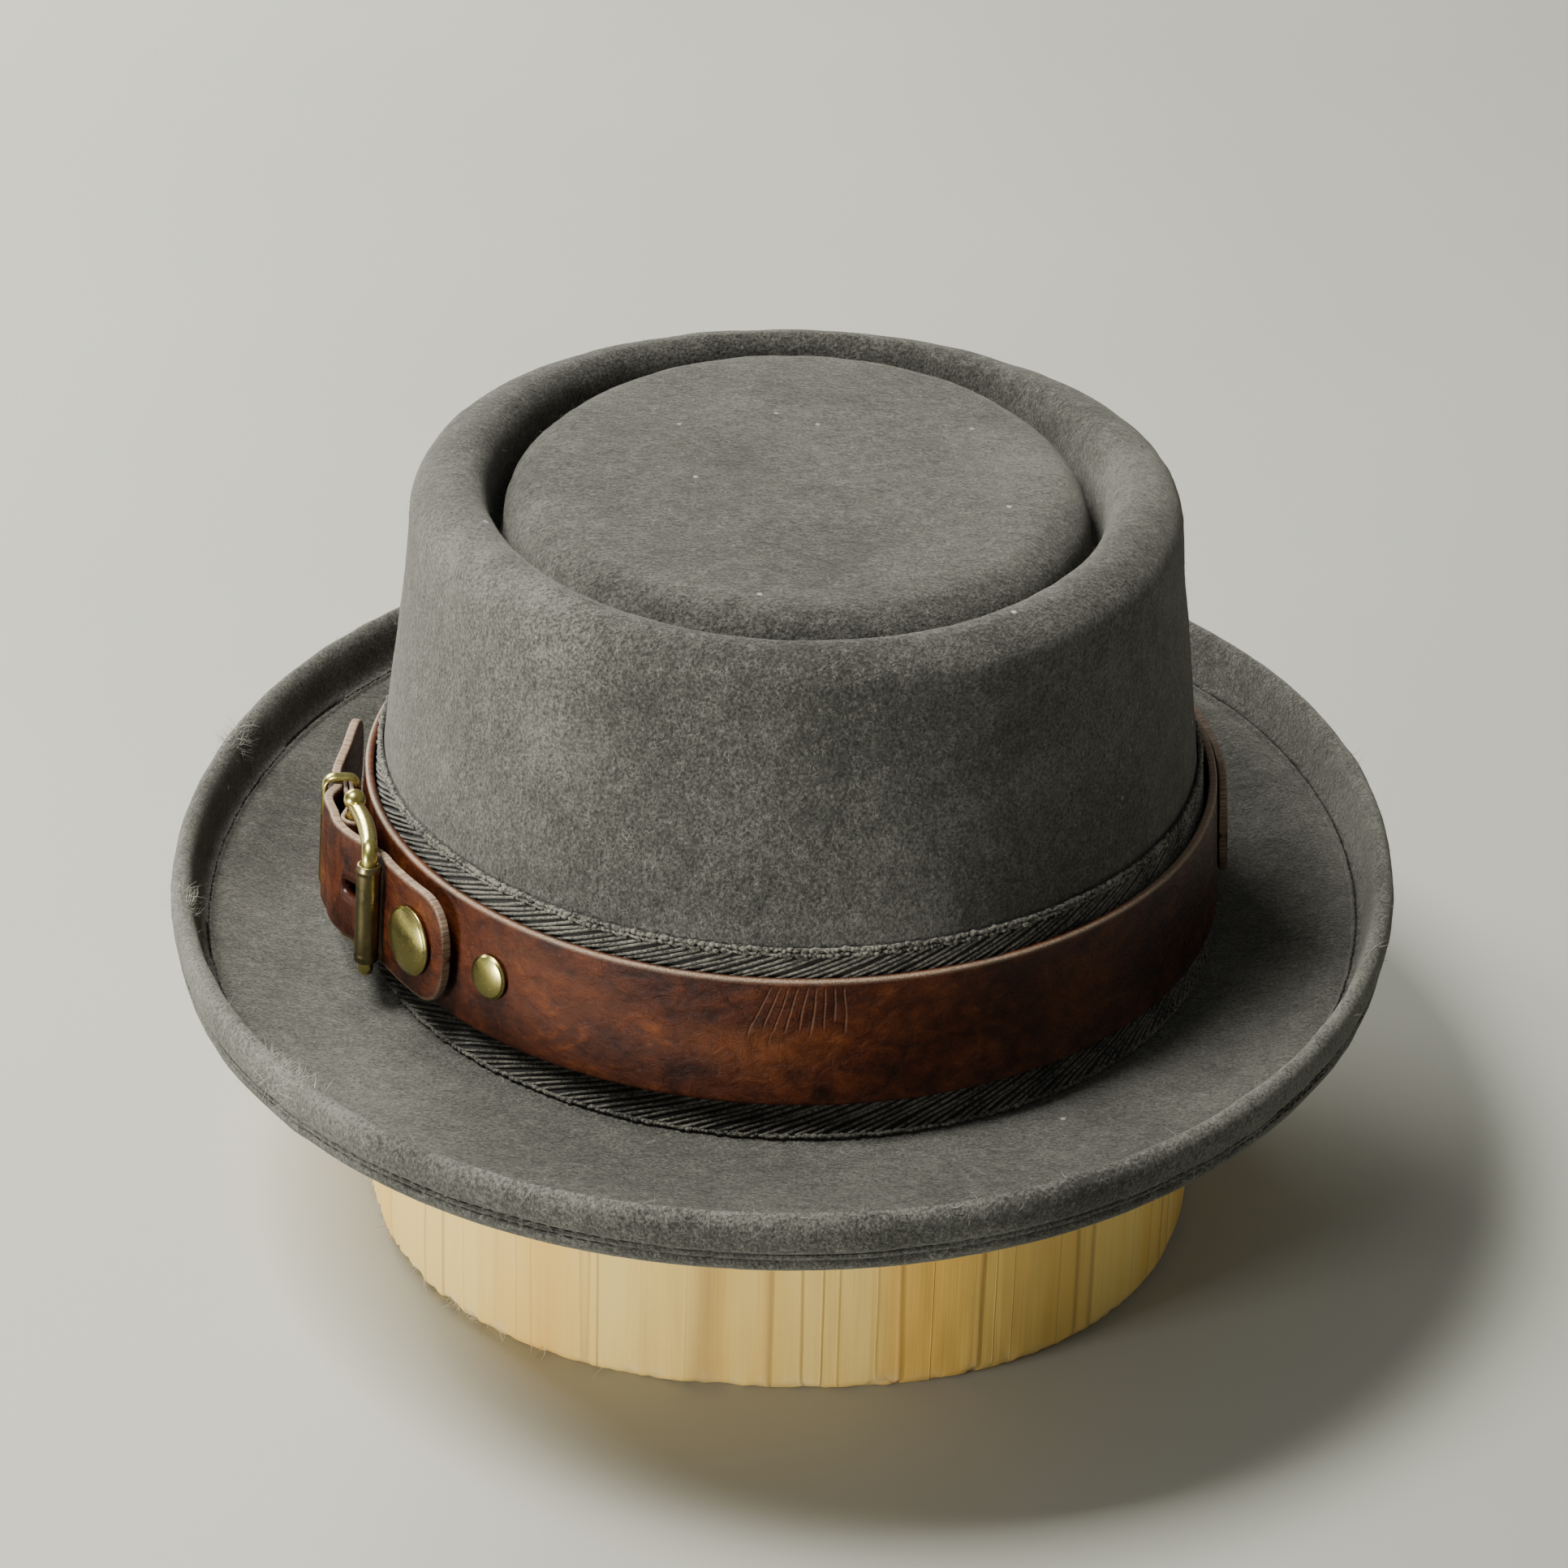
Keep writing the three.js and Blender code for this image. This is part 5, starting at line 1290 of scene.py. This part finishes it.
def buildRivet(node, placeAt, along, faceOut, radius, dome, shank):
    axes, place = axesAt(placeAt, along, faceOut)
    depth = faceOut + band["thickness"]
    edge = rivets["edge"] if dome > 1 else dome * 0.4
    profile = [(0.02, -depth), (shank, -depth), (shank, -0.05), (radius - 0.4, 0.0), (radius - 0.1, edge * 0.25)]
    profile += [(radius, edge * 0.6), (radius - 0.12, edge * 0.95), (radius - 0.45, edge * 1.08)]
    for share in np.linspace(0.93, 0.0, 18):  # a flat dome within its rolled edge
        profile.append((max(radius * share - 0.05, 0.02), edge * 1.08 + (dome - edge * 1.08) * (1 - share ** 2.4)))
    finishPiece(lathePiece(node + "_visual", profile, axes, place, antiqueBrass), "brass", node)


buildBuckle()
buildKeeper()
onBillet = billetLow + straps["billetThickness"] + clearance
onTab = clearance + straps["tabThickness"] + clearance
onChape = chapeStackOut + clearance
for node, placeAt, along, faceOut, kind in (
        ("large_rivet", strapPlace, largeRivetAlong, onBillet, "large"),
        ("small_rivet", bandPlace, smallRivetAlong, clearance, "small"),
        ("tab_rivet", bandPlace, straps["tabAlong"], onTab, "large"),
        ("chape_rivet", strapPlace, chapeRivetAlong, onChape, "chape")):
    buildRivet(node, placeAt, along, faceOut, *rivets[kind])
print("metal made")


# Stand block
stand = {
    "halfWidth": 89.5, "halfDepth": 99.0, "squareness": 2.3, "edge": 3.0, "upright": 35.0, "plugHeight": 18.0,
    "plugEdge": 3.0, "around": 420, "chipHeight": 1.6,
    "splinters": {"Density": 1500000.0, "Length": 0.0026, "Width": 0.00008, "Lean": 0.8, "Seed": 41, "Layer": "torn"},
}


def buildStand():
    angles = np.linspace(0, 2 * np.pi, stand["around"], endpoint=False)
    rows = [(stand["edge"] * (1 - math.sin(t)), stand["edge"] * (1 - math.cos(t)))
            for t in np.linspace(0, math.pi / 2, 8)]
    rows += [(0.0, z) for z in np.linspace(stand["edge"] + 1.2, stand["upright"], 20)]
    rings = [ovalPlace(stand["halfWidth"] - inset, stand["halfDepth"] - inset, angles, z, stand["squareness"])
             for inset, z in rows]
    plugRoom = hat["feltWall"] + clearance
    neck = wallAt(0) - plugRoom
    topRing = ovalPlace(neck, neck + ovalExtraAt(0), angles, standHeight - clearance)
    sideRing = rings[-1]
    rings += [sideRing * (1 - share) + topRing * share for share in np.linspace(0, 1, 12)[1:]]
    plugHeight, plugEdge = stand["plugHeight"], stand["plugEdge"]
    for height, inset in ((plugHeight - plugEdge, 0), (plugHeight - 0.9, plugEdge * 0.3), (plugHeight, plugEdge)):
        half = wallAt(height) - plugRoom - inset
        rings.append(ovalPlace(half, half + ovalExtraAt(height), angles, standHeight + height))
    rings = np.stack(rings)
    z = rings[..., 2]
    side = smoothStep(0.5, 4, z) * smoothStep(stand["upright"] + 8, stand["upright"], z)
    outward = unit(rings * [1, 1, 0])
    rings = rings + outward * (0.16 * roughAt(rings * [1, 1, 0.15], 2.2, 8) * side)[..., None]
    leftFront = 0.35 + 0.65 * smoothStep(0.2, 0.8, np.sin(angles - 0.2))[None, :]
    ragged = np.clip(roughAt(rings * [1, 1, 0.1], 1.8, 9) + 0.15, 0, 1) * smoothStep(5.5, 1.0, z) * leftFront
    rings[..., 2] += ragged * stand["chipHeight"] * smoothStep(0.0, 0.4, 3.6 - z)
    rings = rings - outward * (ragged * 0.9)[..., None]
    chips = np.clip(ragged * 1.5, 0, 1) * (z < 6)
    low = smoothStep(4.5, 1.0, z) * np.clip(roughAt(rings * [1, 1, 0.1], 3.5, 12) * 2.2 - 0.25, 0, 1)
    torn = low * smoothStep(0.25, 0.6, np.sin(angles - 0.05)) * (np.cos(angles) > 0.1)
    piece = ringPiece("stand_block_visual", rings, palePine, {"chips": chips, "torn": torn})
    finishPiece(piece, "pine", "stand_block")
    runTree("stand_splinters", piece, scatterFibres, stand["splinters"], splinterWood, "pine", True)


buildStand()
print("stand made")
